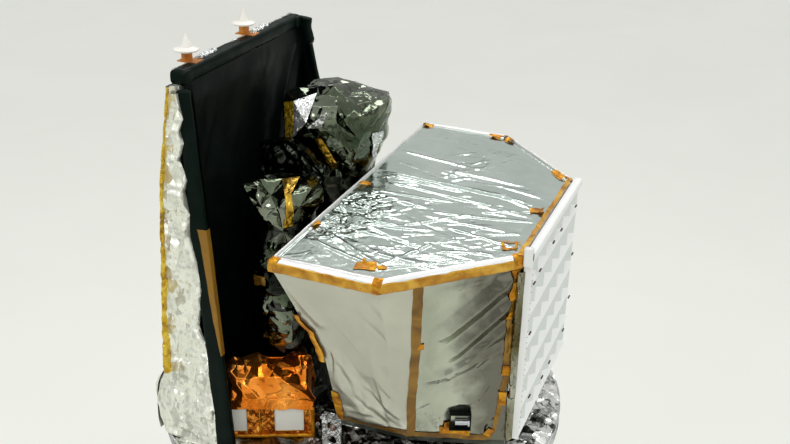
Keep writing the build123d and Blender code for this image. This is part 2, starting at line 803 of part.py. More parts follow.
def cover_cap(telescope):
    """The plain form of the film that is tied over a telescope's lid."""
    _, x, y, radius = telescope[:4]
    low = tube_top(telescope) + LID_GAP + LID_THICKNESS + COVER_GAP
    rim = radius + LID_OVERHANG
    section = [
        (0, low),
        (rim, low),
        (rim, low + COVER_CAP_EDGE),
        (rim - COVER_CAP_SLOPE, low + COVER_CAP),
        (0, low + COVER_CAP),
    ]
    return lathe(section, x, y)


def xray_mirrors():
    """Nested mirror rings under a spider, at the bottom of the bore."""
    _, x, y, radius, _, depth = TELESCOPES[0][:6]
    floor = tube_top(TELESCOPES[0]) - depth
    top = floor + MIRROR_HEIGHT
    outer = radius - TUBE_WALL - MIRROR_MARGIN
    rings = []
    for k in range(MIRROR_RINGS):
        r = outer - k * MIRROR_SPACING
        rings.append(lathe([(r - MIRROR_WALL, floor), (r, floor), (r, top), (r - MIRROR_WALL, top)]))
    inner = outer - (MIRROR_RINGS - 1) * MIRROR_SPACING - MIRROR_WALL
    half = MIRROR_ARM / 2
    arm = block(inner, outer, -half, half, top - MIRROR_ARM_DEPTH, top)
    spider = [Rot(0, 0, 360 / MIRROR_ARMS * k) * arm for k in range(MIRROR_ARMS)]
    return Pos(x, y, 0) * (rings[0] + rings[1:] + spider)


def optical_baffle():
    """The hood over the secondary mirror, on three vanes."""
    _, x, y, radius, _, depth = TELESCOPES[1][:6]
    floor = tube_top(TELESCOPES[1]) - depth
    top = floor + HOOD_HEIGHT
    bore = HOOD_RADIUS - HOOD_WALL
    hood = lathe([(bore, floor), (HOOD_RADIUS, floor), (HOOD_RADIUS, top), (bore, top)])
    reach = radius - TUBE_WALL - SIDE_PLAY
    half = HOOD_WALL / 2
    vane = block(HOOD_RADIUS - half, reach, -half, half, floor, floor + HOOD_VANE_HEIGHT)
    vanes = [Rot(0, 0, 360 / HOOD_VANES * k + 60) * vane for k in range(HOOD_VANES)]
    return Pos(x, y, 0) * (hood + vanes)


def at_box(piece):
    """Moves a piece from the electronics box's own corner to its place on the bench."""
    return Pos(BOX_CORNER_X, BOX_CORNER_Y, BENCH_TOP) * Rot(0, 0, BOX_TURN) * piece


# Windows in the box's front: from and to, as distances from its left end
BOX_WINDOWS = ((22.0, 122.0), (300.0, 488.0))
BOX_WINDOW_LOW = 46.0
BOX_WINDOW_HIGH = 240.0


def electronics_box():
    body = block(0, BOX_WIDTH, 0, BOX_DEPTH, 0, BOX_HEIGHT)
    for x0, x1 in BOX_WINDOWS:
        body -= block(x0, x1, -1, BOX_FRAME, BOX_WINDOW_LOW, BOX_WINDOW_HIGH)
    return at_box(body)


def box_windows():
    plates = []
    for x0, x1 in BOX_WINDOWS:
        plate = block(x0, x1, BOX_WINDOW_RECESS, BOX_FRAME, BOX_WINDOW_LOW, BOX_WINDOW_HIGH)
        plates.append(at_box(plate))
    return plates


def box_foil():
    """The plain form of the foil tent on the box."""
    low, high = BOX_HEIGHT, BOX_HEIGHT + BOX_FOIL
    base = [(0, 0), (BOX_WIDTH, 0), (BOX_WIDTH, BOX_DEPTH), (0, BOX_DEPTH)]
    left, right = BOX_FOIL_SIDE, BOX_WIDTH - BOX_FOIL_SIDE
    front, back = BOX_FOIL_FRONT, BOX_DEPTH - BOX_FOIL_BACK
    head = [(left, front), (right, front), (right, back), (left, back)]
    return at_box(skin([(low, base), (high, head)]))


# Wing layers on the +Y side, from the bus outwards, and the hinge lines between them
DRIVE_TIP = BUS_FACE + DRIVE_LENGTH
YOKE_PLANE = YOKE_START + YOKE_TUBE
INNER_LOW = YOKE_START + 2 * YOKE_TUBE + LAYER_GAP
OUTER_LOW = INNER_LOW + PANEL_THICKNESS + LAYER_GAP
HINGE_REACH = PANEL_WIDTH / 2 + HINGE_EDGE
INNER_HINGE = (HINGE_REACH, INNER_LOW - LAYER_GAP / 2)
OUTER_HINGE = (-HINGE_REACH, OUTER_LOW - LAYER_GAP / 2)
ROOT_HINGE = (0.0, YOKE_PLANE)
FITTING_X = PANEL_WIDTH / 2 - FITTING_INSET
SPAR_X = HINGE_REACH - YOKE_SPAR_INSET


def array_drive():
    """The motor housing on the +Y side of the bus, bored for the wing's shaft."""
    z = WING_AXIS_Z
    body = rod((0, BUS_FACE, z), (0, DRIVE_TIP, z), DRIVE_RADIUS)
    body += rod((0, BUS_FACE, z), (0, BUS_FACE + DRIVE_FLANGE, z), DRIVE_FLANGE_RADIUS)
    bore = SHAFT_RADIUS + SHAFT_CLEARANCE
    low, high = DRIVE_TIP - SHAFT_ENGAGEMENT - SIDE_PLAY, DRIVE_TIP + SIDE_PLAY
    return body - rod((0, low, z), (0, high, z), bore)


def wing_shaft():
    """The turning flange with the two ears of the root hinge."""
    z = WING_AXIS_Z
    x, y = ROOT_HINGE
    plate_to = y - WING_KNUCKLE - SHAFT_PLATE_GAP
    plate_from = plate_to - SHAFT_PLATE
    piece = rod((0, DRIVE_TIP - SHAFT_ENGAGEMENT, z), (0, plate_to, z), SHAFT_RADIUS)
    width = YOKE_ROOT_HALF + SIDE_PLAY + WING_EAR
    half = SHAFT_PLATE_WIDTH / 2
    piece += block(-half, half, plate_from, plate_to, z - width, z + width)
    for z0, z1 in ((z - width, z - width + WING_EAR), (z + width - WING_EAR, z + width)):
        piece += hull_plate(x, plate_to, SHAFT_EAR_ROOT, x, y, WING_KNUCKLE, z0, z1)
    return piece + upright(x, y, z - width, z + width, WING_PIN)


def wing_ears(hinge, carrier_x, carrier_y, carrier_r, offset):
    """Two ears and their pin on a hinge line, joined to the piece that carries them."""
    x, y = hinge
    z = WING_AXIS_Z + offset
    inner = WING_TONGUE / 2 + SIDE_PLAY
    outer = inner + WING_EAR
    piece = upright(x, y, z - outer, z + outer, WING_PIN)
    for z0, z1 in ((z - outer, z - inner), (z + inner, z + outer)):
        piece += hull_plate(x, y, WING_KNUCKLE, carrier_x, carrier_y, carrier_r, z0, z1)
    return piece


def wing_tongue(hinge, carrier_x, carrier_y, carrier_r, offset):
    """The eye of a hinge, and the bore for its pin."""
    x, y = hinge
    half = WING_TONGUE / 2
    z = WING_AXIS_Z + offset
    plate = hull_plate(x, y, WING_KNUCKLE, carrier_x, carrier_y, carrier_r, z - half, z + half)
    return plate, pin_bore(hinge, z - half, z + half)


def pin_bore(hinge, z0, z1):
    x, y = hinge
    return upright(x, y, z0 - SIDE_PLAY, z1 + SIDE_PLAY, WING_PIN + PIN_CLEARANCE)


def wing_yoke():
    """A triangular tube frame between the root hinge and the inner panel."""
    z = WING_AXIS_Z
    x, y = ROOT_HINGE
    half = YOKE_ROOT_HALF
    frame = upright(x, y, z - half, z + half, WING_KNUCKLE)
    root_to = x + YOKE_ROOT_REACH
    frame += block(x, root_to, y - WING_KNUCKLE, y + WING_KNUCKLE, z - half, z + half)
    frame += upright(SPAR_X, y, z - YOKE_SPAR_HALF, z + YOKE_SPAR_HALF, YOKE_TUBE)
    for side in (-1, 1):
        start = (root_to - YOKE_ARM, y, z + side * (half - YOKE_TUBE))
        end = (SPAR_X, y, z + side * (YOKE_SPAR_HALF - 2 * YOKE_TUBE))
        frame += rod(start, end, YOKE_ARM)
    for offset in WING_HINGE_OFFSETS:
        frame += wing_ears(INNER_HINGE, SPAR_X, y, YOKE_TUBE, offset)
    return frame - pin_bore(ROOT_HINGE, z - half, z + half)


def panel_body(low):
    half = PANEL_WIDTH / 2
    z0, z1 = WING_AXIS_Z - PANEL_HEIGHT / 2, WING_AXIS_Z + PANEL_HEIGHT / 2
    return block(-half, half, low, low + PANEL_THICKNESS, z0, z1)


def wing_inner_panel():
    middle = INNER_LOW + PANEL_THICKNESS / 2
    panel = panel_body(INNER_LOW)
    holes = []
    for offset in WING_HINGE_OFFSETS:
        tongue, hole = wing_tongue(INNER_HINGE, FITTING_X, middle, FITTING_RADIUS, offset)
        panel += tongue
        holes.append(hole)
        panel += wing_ears(OUTER_HINGE, -FITTING_X, middle, FITTING_RADIUS, offset)
    return panel - holes


def wing_outer_panel():
    middle = OUTER_LOW + PANEL_THICKNESS / 2
    panel = panel_body(OUTER_LOW)
    holes = []
    for offset in WING_HINGE_OFFSETS:
        tongue, hole = wing_tongue(OUTER_HINGE, -FITTING_X, middle, FITTING_RADIUS, offset)
        panel += tongue
        holes.append(hole)
    return panel - holes


def array_holddowns():
    """Posts that the folded yoke rests against."""
    end = YOKE_START - HOLDDOWN_GAP
    posts = []
    for offset in (-HOLDDOWN_OFFSET, HOLDDOWN_OFFSET):
        z = WING_AXIS_Z + offset
        foot = (SPAR_X, BUS_FACE, z)
        post = rod(foot, (SPAR_X, end, z), HOLDDOWN_RADIUS)
        post += rod(foot, (SPAR_X, BUS_FACE + HOLDDOWN_FOOT, z), HOLDDOWN_FOOT_RADIUS)
        posts.append(post)
    return posts


def mirrored(piece):
    return mirror(piece, about=Plane.XZ)


def both_sides(pieces):
    return pieces + [mirrored(piece) for piece in pieces]


def write(name, pieces):
    """One STEP file for one sub-part, from one solid or several that stand apart."""
    if not isinstance(pieces, list):
        pieces = [pieces]
    solids = [solid for piece in pieces for solid in piece.solids()]
    shape = solids[0] if len(solids) == 1 else Compound(children=solids)
    export_step(shape, os.path.join("parts", name + ".step"))


def main():
    os.makedirs("parts", exist_ok=True)
    write("separation_ring", separation_ring())
    write("bus_lower_deck", bus_deck(BUS_BOTTOM))
    write("bus_upper_deck", bus_deck(BUS_TOP - BUS_DECK))
    write("bus_posts", bus_posts())
    write("bus_side_panels", bus_side_panels())
    write("bus_radiators", bus_radiators())
    write("bench_struts", bench_struts())
    write("optical_bench", optical_bench())
    write("imager_legs", imager_legs())
    write("imager_base", imager_base())
    write("imager_shell", imager_shell())
    write("imager_port", imager_port())
    write("port_sensor", port_sensor())
    write("mask_frame", mask_frame())
    write("mask_panel", mask_panel())
    write("mask_film", mask_film())
    write("radiator_panel", radiator_panel())
    write("radiator_standoffs", radiator_standoffs())
    write("sunshade_panel", sunshade_panel())
    write("sunshade_wings", sunshade_wings())
    write("sunshade_rim", sunshade_rim())
    write("sunshade_liner", sunshade_liner())
    write("sunshade_gussets", sunshade_gussets())
    write("antenna_brackets", antenna_brackets())
    write("cone_antennas", cone_antennas())
    for telescope in TELESCOPES:
        name = telescope[0]
        write(name + "_tube", telescope_tube(telescope))
        write(name + "_lid", telescope_lid(telescope))
        write(name + "_cover_skirt", cover_skirt(telescope))
        write(name + "_cover_cap", cover_cap(telescope))
    write("xray_mirrors", xray_mirrors())
    write("optical_baffle", optical_baffle())
    write("electronics_box", electronics_box())
    write("box_windows", box_windows())
    write("box_foil", box_foil())
    write("array_drives", both_sides([array_drive()]))
    write("array_holddowns", both_sides(array_holddowns()))
    wing = {
        "shaft": wing_shaft(),
        "yoke": wing_yoke(),
        "inner_panel": wing_inner_panel(),
        "outer_panel": wing_outer_panel(),
    }
    for name, piece in wing.items():
        write("far_" + name, piece)
        write("near_" + name, mirrored(piece))


main()
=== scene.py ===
import math

import bpy
import numpy as np
from mathutils import Matrix, Vector


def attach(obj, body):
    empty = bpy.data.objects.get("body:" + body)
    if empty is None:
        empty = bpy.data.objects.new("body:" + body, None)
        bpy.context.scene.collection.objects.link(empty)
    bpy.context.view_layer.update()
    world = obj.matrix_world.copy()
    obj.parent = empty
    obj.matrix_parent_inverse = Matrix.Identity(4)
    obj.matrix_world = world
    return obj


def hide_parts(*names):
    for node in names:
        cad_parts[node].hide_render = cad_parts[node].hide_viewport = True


# A space observatory satellite: films, blankets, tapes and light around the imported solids.
# Metres, in the row frame: +X points to the imager's white radiator and +Y to the far wing.

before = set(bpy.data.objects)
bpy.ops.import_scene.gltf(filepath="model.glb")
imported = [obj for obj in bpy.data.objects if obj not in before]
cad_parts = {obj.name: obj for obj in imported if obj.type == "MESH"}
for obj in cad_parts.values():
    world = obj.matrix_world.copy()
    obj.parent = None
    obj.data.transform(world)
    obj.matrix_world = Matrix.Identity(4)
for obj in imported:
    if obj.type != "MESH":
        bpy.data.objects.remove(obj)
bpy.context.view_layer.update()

BENCH = 3.150
MASK_TOP = 4.700
RIM_BOTTOM = 4.629
FILM_HEAD = RIM_BOTTOM + 0.004
SHELL_FOOT = 3.450
MASK = ((-0.050, -1.200), (0.600, -1.200), (1.215, -0.600), (1.215, 0.600), (0.600, 1.200), (-0.050, 1.200))
MASK_MIDDLE = np.array((0.55, 0.0))
REAR_CORNER = ((-0.035, -1.185), (0.180, -0.800))
FRONT_CORNER = ((1.200, -0.591), (1.200, -0.600))
NEAR_TUBE = (-0.450, -0.250)
FAR_TUBE = (-0.430, 0.450)
CAMERA_SIDE = math.atan2(-0.93, 0.37)


# Repeatable noise for folds

def lattice(ix, iy, seed):
    """A repeatable value from 0 to 1 for each whole-number point."""
    n = (ix.astype(np.int64) * 374761393 + iy.astype(np.int64) * 668265263 + seed * 974634777) & 0xFFFFFFFF
    n = ((n ^ (n >> 13)) * 1274126177) & 0xFFFFFFFF
    return ((n ^ (n >> 16)) & 0xFFFF) / 65535.0


def corner_values(x, y, seed):
    """The place of each point in its lattice square, and the values at the square's corners."""
    ix, iy = np.floor(x), np.floor(y)
    corners = [lattice(ix + i, iy + j, seed) for i, j in ((0, 0), (1, 0), (0, 1), (1, 1))]
    return x - ix, y - iy, corners


def smooth_noise(x, y, seed):
    fx, fy, (h00, h10, h01, h11) = corner_values(x, y, seed)
    fx, fy = fx * fx * (3 - 2 * fx), fy * fy * (3 - 2 * fy)
    return (h00 * (1 - fx) + h10 * fx) * (1 - fy) + (h01 * (1 - fx) + h11 * fx) * fy


def sway(x, y, seed):
    """Smooth noise from -0.5 to 0.5."""
    return smooth_noise(x, y, seed) - 0.5


def facets(x, y, seed):
    """Flat triangles between the lattice's points, so the surface has straight creases."""
    fx, fy, (h00, h10, h01, h11) = corner_values(x, y, seed)
    below = h00 * (1 - fx) + h10 * (fx - fy) + h11 * fy
    above = h00 * (1 - fy) + h01 * (fy - fx) + h11 * fx
    return np.where(fx > fy, below, above)


def crumple(x, y, size, seed, levels=3, keep=0.5, bend=0.45):
    """Creased facets of several sizes, from about -1 to 1."""
    total = np.zeros_like(x)
    amount = 1.0
    for k in range(levels):
        angle = 0.9 + 1.3 * k + 0.37 * seed
        wx = x + bend * size * sway(x / size, y / size, seed + 11 + k) * 2
        wy = y + bend * size * sway(x / size, y / size, seed + 23 + k) * 2
        u = (wx * math.cos(angle) + wy * math.sin(angle)) / size
        v = (wy * math.cos(angle) - wx * math.sin(angle)) / size
        total += amount * (2 * facets(u, v, seed + k) - 1)
        amount *= keep
        size *= 0.47
    return total


def wrinkles(x, y, angle, width, length, seed, sharp):
    """Long crests along an angle in degrees, from 0 to 1."""
    turn = math.radians(angle)
    u = (x * math.cos(turn) + y * math.sin(turn)) / length
    v = (y * math.cos(turn) - x * math.sin(turn)) / width
    v = v + 1.1 * sway(u * 1.4 + 7, v * 0.3, seed + 5)
    return (1 - np.abs(2 * smooth_noise(u, v, seed) - 1)) ** sharp


def held(value):
    """The value, kept between 0 and 1."""
    return np.clip(value, 0, 1)


def bell(value, middle, width):
    return np.exp(-((value - middle) / width) ** 2)


def near(x, y, cx, cy, rx, ry):
    """A soft spot, 1 at its centre and 0 outside."""
    d = held(1 - ((x - cx) / rx) ** 2 - ((y - cy) / ry) ** 2)
    return d * d * (3 - 2 * d)


def line_crest(x, y, start, end, width, fade=0.15):
    """One crest along a line between two points, from 0 to 1."""
    length = math.dist(start, end)
    ux, uy = (end[0] - start[0]) / length, (end[1] - start[1]) / length
    ahead = ((x - start[0]) * ux + (y - start[1]) * uy) / length
    across = (y - start[1]) * ux - (x - start[0]) * uy
    return held(np.minimum(ahead, 1 - ahead) / fade + 0.3) * held(1 - np.abs(across) / width)


def ridges(x, y, count, seed, angle, fan, length, width, height, area):
    """Sharp straight folds of film, each with its own place, turn, length and height."""
    pick = np.random.default_rng(seed)
    total = np.zeros_like(x)
    for _ in range(count):
        cx, cy = pick.uniform(area[0], area[1]), pick.uniform(area[2], area[3])
        turn = math.radians(pick.normal(angle, fan))
        half = pick.uniform(*length) / 2
        wide = pick.uniform(*width)
        high = pick.uniform(*height) * (1 if pick.random() < 0.7 else -0.7)
        u = ((x - cx) * math.cos(turn) + (y - cy) * math.sin(turn)) / half
        v = (y - cy) * math.cos(turn) - (x - cx) * math.sin(turn)
        v = v - pick.normal(0, 0.06) * half * (1 - u * u)
        ends = held(1 - np.abs(u)) ** 0.6
        total += high * ends * np.where(v > 0, held(1 - v / (2.4 * wide)), held(1 + v / wide))
    return total


def folds(x, y, *sets):
    """Several sets of ridges: each holds what ridges takes after x and y."""
    return sum(ridges(x, y, *values) for values in sets)


# Grids of points

def spans(across, down):
    """Grids of two values, one for each column and one for each row: a span is (first, last, count)."""
    return np.meshgrid(np.linspace(*across), np.linspace(*down))


def shares(rows, columns):
    return spans((0, 1, columns), (0, 1, rows))


def round_shares(rows, columns):
    """A full turn across, open by one step at its end, and the share down."""
    turn = np.linspace(-math.pi, math.pi, columns, endpoint=False)
    return np.meshgrid(turn, np.linspace(0, 1, rows))


def steps_along(line):
    return np.r_[0, np.cumsum(np.linalg.norm(np.diff(line, axis=0), axis=1))]


def along(line, count):
    """Points spread evenly over a polyline."""
    line = np.array(line, float)
    steps = steps_along(line)
    places = np.linspace(0, steps[-1], count)
    return np.stack([np.interp(places, steps, line[:, i]) for i in range(line.shape[1])], 1)


def filled(top, bottom, left, right, rows, columns):
    """A surface through four edges that meet at their ends."""
    top, bottom = along(top, columns), along(bottom, columns)
    left, right = along(left, rows), along(right, rows)
    s = np.linspace(0, 1, columns)[None, :, None]
    t = np.linspace(0, 1, rows)[:, None, None]
    edges = top[None] * (1 - t) + bottom[None] * t + left[:, None] * (1 - s) + right[:, None] * s
    corners = (top[0] * (1 - s) + top[-1] * s) * (1 - t) + (bottom[0] * (1 - s) + bottom[-1] * s) * t
    return edges - corners


def wall_between(left, right, rows, columns):
    """A surface between two lines that run down, with a straight head and foot."""
    return filled([left[0], right[0]], [left[-1], right[-1]], left, right, rows, columns)


def units(vectors):
    return vectors / np.maximum(np.linalg.norm(vectors, axis=-1, keepdims=True), 1e-12)


def facing(grid):
    """The unit normal at each point of a grid."""
    return units(np.cross(np.gradient(grid, axis=1), np.gradient(grid, axis=0)))


def raised(grid, height):
    return grid + facing(grid) * height[..., None]


def share(grid):
    """How far each point lies across and down its grid, in metres along the edges."""
    dx = np.linalg.norm(np.diff(grid, axis=1), axis=2)
    dy = np.linalg.norm(np.diff(grid, axis=0), axis=2)
    return np.pad(np.cumsum(dx, 1), ((0, 0), (1, 0))), np.pad(np.cumsum(dy, 0), ((1, 0), (0, 0)))


def fade_edges(grid, width):
    """0 on the border of a grid and 1 further in than width."""
    x, y = share(grid)
    return held(np.minimum(np.minimum(x, x[:, -1:] - x), np.minimum(y, y[-1:] - y)) / width)


def add_mesh(name, vertices, faces, look, body, smooth=True):
    mesh = bpy.data.meshes.new(name)
    mesh.from_pydata([tuple(v) for v in vertices], [], faces)
    mesh.materials.append(LOOKS[look])
    mesh.polygons.foreach_set("use_smooth", [smooth] * len(mesh.polygons))
    mesh.update()
    piece = bpy.data.objects.new(name, mesh)
    bpy.context.scene.collection.objects.link(piece)
    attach(piece, body)
    return piece


def grid_faces(rows, columns, closed=False, start=0):
    r, c = np.meshgrid(np.arange(rows - 1), np.arange(columns if closed else columns - 1), indexing="ij")
    after = (c + 1) % columns
    here, below = r * columns, (r + 1) * columns
    quads = np.stack([here + c, here + after, below + after, below + c], -1)
    return (quads.reshape(-1, 4) + start).tolist()


def film(name, grids, look, body="observatory", closed=False, smooth=True):
    """One piece made of one or more grids of points."""
    if isinstance(grids, np.ndarray):
        grids = [grids]
    vertices, faces = [], []
    for grid in grids:
        rows, columns = grid.shape[:2]
        faces += grid_faces(rows, columns, closed, len(vertices))
        vertices.extend(grid.reshape(-1, 3).tolist())
    return add_mesh(name, vertices, faces, look, body, smooth)


def ribbon(path, across, width, rows, lift, wave, seed, bulge=0.0):
    """A strip of tape along a path: across is the direction of its width."""
    count = len(path)
    steps = np.arange(count, dtype=float)
    grow = wave * sway(steps * 0.45, np.zeros(count), seed)
    shift = wave * sway(steps * 0.3, np.ones(count), seed + 1)
    t = np.linspace(-0.5, 0.5, rows)[:, None]
    grid = path[None] + np.array(across) * (t * (width + grow) + shift)[..., None]
    return raised(grid, lift + bulge * (1 - (2 * t) ** 2) + np.zeros((rows, count)))


def on_grid(grid, places):
    """Points of a wall film and its outward normals there, at (across, down) shares of it."""
    rows, columns = grid.shape[:2]
    places = held(np.array(places, float))
    c, r = places[:, 0] * (columns - 1), places[:, 1] * (rows - 1)
    left, top = np.minimum(c.astype(int), columns - 2), np.minimum(r.astype(int), rows - 2)
    fc, fr = (c - left)[:, None], (r - top)[:, None]
    result = []
    for values in (grid, -facing(grid)):
        upper = values[top, left] * (1 - fc) + values[top, left + 1] * fc
        lower = values[top + 1, left] * (1 - fc) + values[top + 1, left + 1] * fc
        result.append(upper * (1 - fr) + lower * fr)
    return result


def tape_on(grid, places, width, lift, wave, seed, count):
    """A strip of tape over a wall film, along (across, down) shares of it."""
    path, out = on_grid(grid, along(places, count))
    across = units(np.cross(np.gradient(path, axis=0), out))
    steps = steps_along(path)
    grow = wave * sway(steps / 0.04, steps * 0, seed)
    shift = wave * sway(steps / 0.08, steps * 0 + 1, seed + 1)
    t = np.linspace(-0.5, 0.5, 7)[:, None]
    offset = t * (width + grow) + shift
    h = lift + 0.0022 * crumple(steps + 0 * t, offset, 0.03, seed, 2)
    return path + across * offset[..., None] + out * h[..., None]


def sweep(centres, sides, ups, half_width, half_height, around, power, ends):
    """Closed rings of a rounded section along a line of centres; both ends close."""
    count = len(centres)
    t = np.linspace(0, 1, count)
    close = held(np.minimum(t, 1 - t) / ends)
    close = ((1 - (1 - close) ** power) ** (1 / power))[:, None, None]
    angle = np.linspace(0, 2 * math.pi, around, endpoint=False)
    c, s = np.cos(angle), np.sin(angle)
    size = (np.abs(c) ** power + np.abs(s) ** power) ** (-1 / power)
    w = (np.zeros(count) + half_width)[:, None, None] * close * (size * c)[None, :, None]
    h = (np.zeros(count) + half_height)[:, None, None] * close * (size * s)[None, :, None]
    sides, ups = (np.broadcast_to(v, (count, 3))[:, None] for v in (sides, ups))
    return centres[:, None] + sides * w + ups * h


def soft_bar(start, end, side, up, half_width, half_height, rows, around, power, ends):
    t = np.linspace(0, 1, rows)[:, None]
    centres = np.array(start) * (1 - t) + np.array(end) * t
    return sweep(centres, side, up, half_width, half_height, around, power, ends)


def creased_bar(grid, depth, size, seed, stretch=1.0):
    """Creases over a closed bar, away from its axis."""
    middle = grid.mean(axis=1, keepdims=True)
    steps = steps_along(middle[:, 0])
    turn = np.linspace(0, 2 * math.pi, grid.shape[1], endpoint=False)
    x = steps[:, None] + 0 * turn
    y, z = 0.05 * np.cos(turn) + 0 * x, 0.05 * np.sin(turn) + 0 * x
    h = crumple(x * stretch, y, size, seed) + crumple(x * stretch, z, size, seed + 40)
    close = held(np.minimum(steps, steps[-1] - steps) / 0.02)[:, None]
    return grid + units(grid - middle) * (0.5 * depth * h * close)[..., None]


# Looks

def node(tree, kind, inputs, **values):
    """A new node: inputs give a socket's value or the output that feeds it."""
    made = tree.nodes.new(kind)
    for key, value in values.items():
        setattr(made, key, value)
    for socket, value in inputs.items():
        if isinstance(value, bpy.types.NodeSocket):
            tree.links.new(value, made.inputs[socket])
        else:
            made.inputs[socket].default_value = value
    return made.outputs


def number(tree, operation, first, second=0.0):
    return node(tree, "ShaderNodeMath", {0: first, 1: second}, operation=operation)[0]


def vector(tree, operation, first, second=(0.0, 0.0, 0.0)):
    return node(tree, "ShaderNodeVectorMath", {0: first, 1: second}, operation=operation)[0]


def spread(tree, value, *limits):
    """A value carried from the first pair of limits to the second."""
    inputs = dict(zip(("From Min", "From Max", "To Min", "To Max"), limits))
    return node(tree, "ShaderNodeMapRange", {"Value": value, **inputs})["Result"]


def mottle(tree, place, scale, detail, distortion=0.0):
    inputs = {"Vector": place, "Scale": scale, "Detail": detail, "Distortion": distortion}
    return node(tree, "ShaderNodeTexNoise", inputs)["Fac"]


def creases(tree, place, scale, distortion, depth):
    """A height with sharp valleys where the noise passes its middle."""
    away = number(tree, "SUBTRACT", mottle(tree, place, scale, 2.0, distortion), 0.5)
    return number(tree, "MULTIPLY", number(tree, "ABSOLUTE", away), depth)


def mixed(tree, part, base, colour):
    """The base where part is 0 and the colour where it is 1."""
    return node(tree, "ShaderNodeMix", {0: part, 6: base, 7: (*colour, 1)}, data_type="RGBA")[2]


def facet_tilt(tree, place, size, amount):
    """A normal that tilts a little and differently on each small facet of a crushed foil."""
    normal = node(tree, "ShaderNodeNewGeometry", {})["Normal"]
    for scale, part in ((1 / size, amount), (2.3 / size, amount * 0.6)):
        cells = node(tree, "ShaderNodeTexVoronoi", {"Vector": place, "Scale": scale})["Color"]
        tilt = vector(tree, "MULTIPLY", vector(tree, "SUBTRACT", cells, (0.5,) * 3), (part,) * 3)
        normal = vector(tree, "ADD", normal, tilt)
    return vector(tree, "NORMALIZE", normal)


LOOKS = {}


def looks(name, colours, metallic, roughness, patches, crease=None, fine=None, grain=None, facet=None,
          extra=None, coat=(0.0, 0.1), specular=0.5, stretch=(1, 1, 1)):
    """A finish: colours drift over patches, creases and grain are bump, gloss varies with them."""
    LOOKS[name] = look = bpy.data.materials.new(name)
    look.use_nodes = True
    tree = look.node_tree
    shader = tree.nodes["Principled BSDF"]
    shader.inputs["Metallic"].default_value = metallic
    shader.inputs["Coat Weight"].default_value = coat[0]
    shader.inputs["Coat Roughness"].default_value = coat[1]
    shader.inputs["Specular IOR Level"].default_value = specular
    where = node(tree, "ShaderNodeTexCoord", {})["Object"]
    place = node(tree, "ShaderNodeMapping", {"Vector": where, "Scale": stretch})["Vector"]
    colour = node(tree, "ShaderNodeValToRGB", {"Fac": mottle(tree, place, patches, 4.0, 0.8)})["Color"]
    stops = colour.node.color_ramp.elements
    low, high = 0.34, 0.66
    stops[0].position, stops[1].position = low, high
    stops[0].color, stops[1].color = (*colours[0], 1), (*colours[-1], 1)
    if len(colours) == 3:
        stops.new((low + high) / 2).color = (*colours[1], 1)
    if extra:
        colour = extra(tree, place, colour)
    tree.links.new(colour, shader.inputs["Base Color"])
    gloss = spread(tree, mottle(tree, place, patches * 3.1, 3.0, 0.4), 0.3, 0.7, *roughness)
    tree.links.new(gloss, shader.inputs["Roughness"])
    heights = []
    if crease:
        depth, size = crease
        heights.append(creases(tree, place, 0.35 / size, 1.2, 2 * depth))
        heights.append(creases(tree, place, 0.9 / size, 0.9, depth))
    if fine:
        depth, size = fine
        heights.append(creases(tree, place, 0.6 / size, 1.0, depth))
    if grain:
        depth, size = grain
        heights.append(number(tree, "MULTIPLY", mottle(tree, place, 0.5 / size, 3.0), depth))
    if heights:
        total = heights[0]
        for height in heights[1:]:
            total = number(tree, "ADD", total, height)
        bump = node(tree, "ShaderNodeBump", {"Strength": 1.0, "Distance": 1.0, "Height": total})
        tree.links.new(bump["Normal"], shader.inputs["Normal"])
    if facet:
        tree.links.new(facet_tilt(tree, place, *facet), shader.inputs["Normal"])


def split(tree, place):
    return node(tree, "ShaderNodeSeparateXYZ", {0: place})


def painted_dark_spot(centre, size, colour):
    """A painted darker colour around one place, with a ragged edge: used for painted shade and for a painted
    reflection of dark things nearby.
    """
    def paint(tree, place, base):
        parts = split(tree, place)
        total = mottle(tree, place, 9.0, 3.0, 0.6)
        for axis, middle, half in zip("XY", centre, size):
            away = number(tree, "DIVIDE", number(tree, "SUBTRACT", parts[axis], middle), half)
            total = number(tree, "ADD", total, number(tree, "MULTIPLY", away, away))
        return mixed(tree, spread(tree, total, 0.65, 1.5, 1, 0), base, colour)
    return paint


def cell_lines(pitches, gap, colour):
    """Thin lines of a second colour between the solar cells."""
    def paint(tree, place, base):
        parts = split(tree, place)
        edges = []
        for axis, pitch in zip("XZ", pitches):
            part = number(tree, "FRACT", number(tree, "DIVIDE", parts[axis], pitch))
            edges.append(number(tree, "LESS_THAN", part, gap / pitch))
        return mixed(tree, number(tree, "MAXIMUM", *edges), base, colour)
    return paint


def bright_border(start, end, colour):
    """A second colour further than a distance from the upright axis."""
    def paint(tree, place, base):
        parts = split(tree, place)
        squares = [number(tree, "MULTIPLY", parts[axis], parts[axis]) for axis in "XY"]
        reach = number(tree, "SQRT", number(tree, "ADD", *squares))
        return mixed(tree, spread(tree, reach, start, end, 0, 1), base, colour)
    return paint


def painted_lit_tops(start, end, colour):
    """A painted highlight: a lighter colour on the faces that look up, as if lit from above."""
    def paint(tree, place, base):
        parts = split(tree, node(tree, "ShaderNodeNewGeometry", {})["True Normal"])
        return mixed(tree, spread(tree, parts["Z"], start, end, 0, 1), base, colour)
    return paint
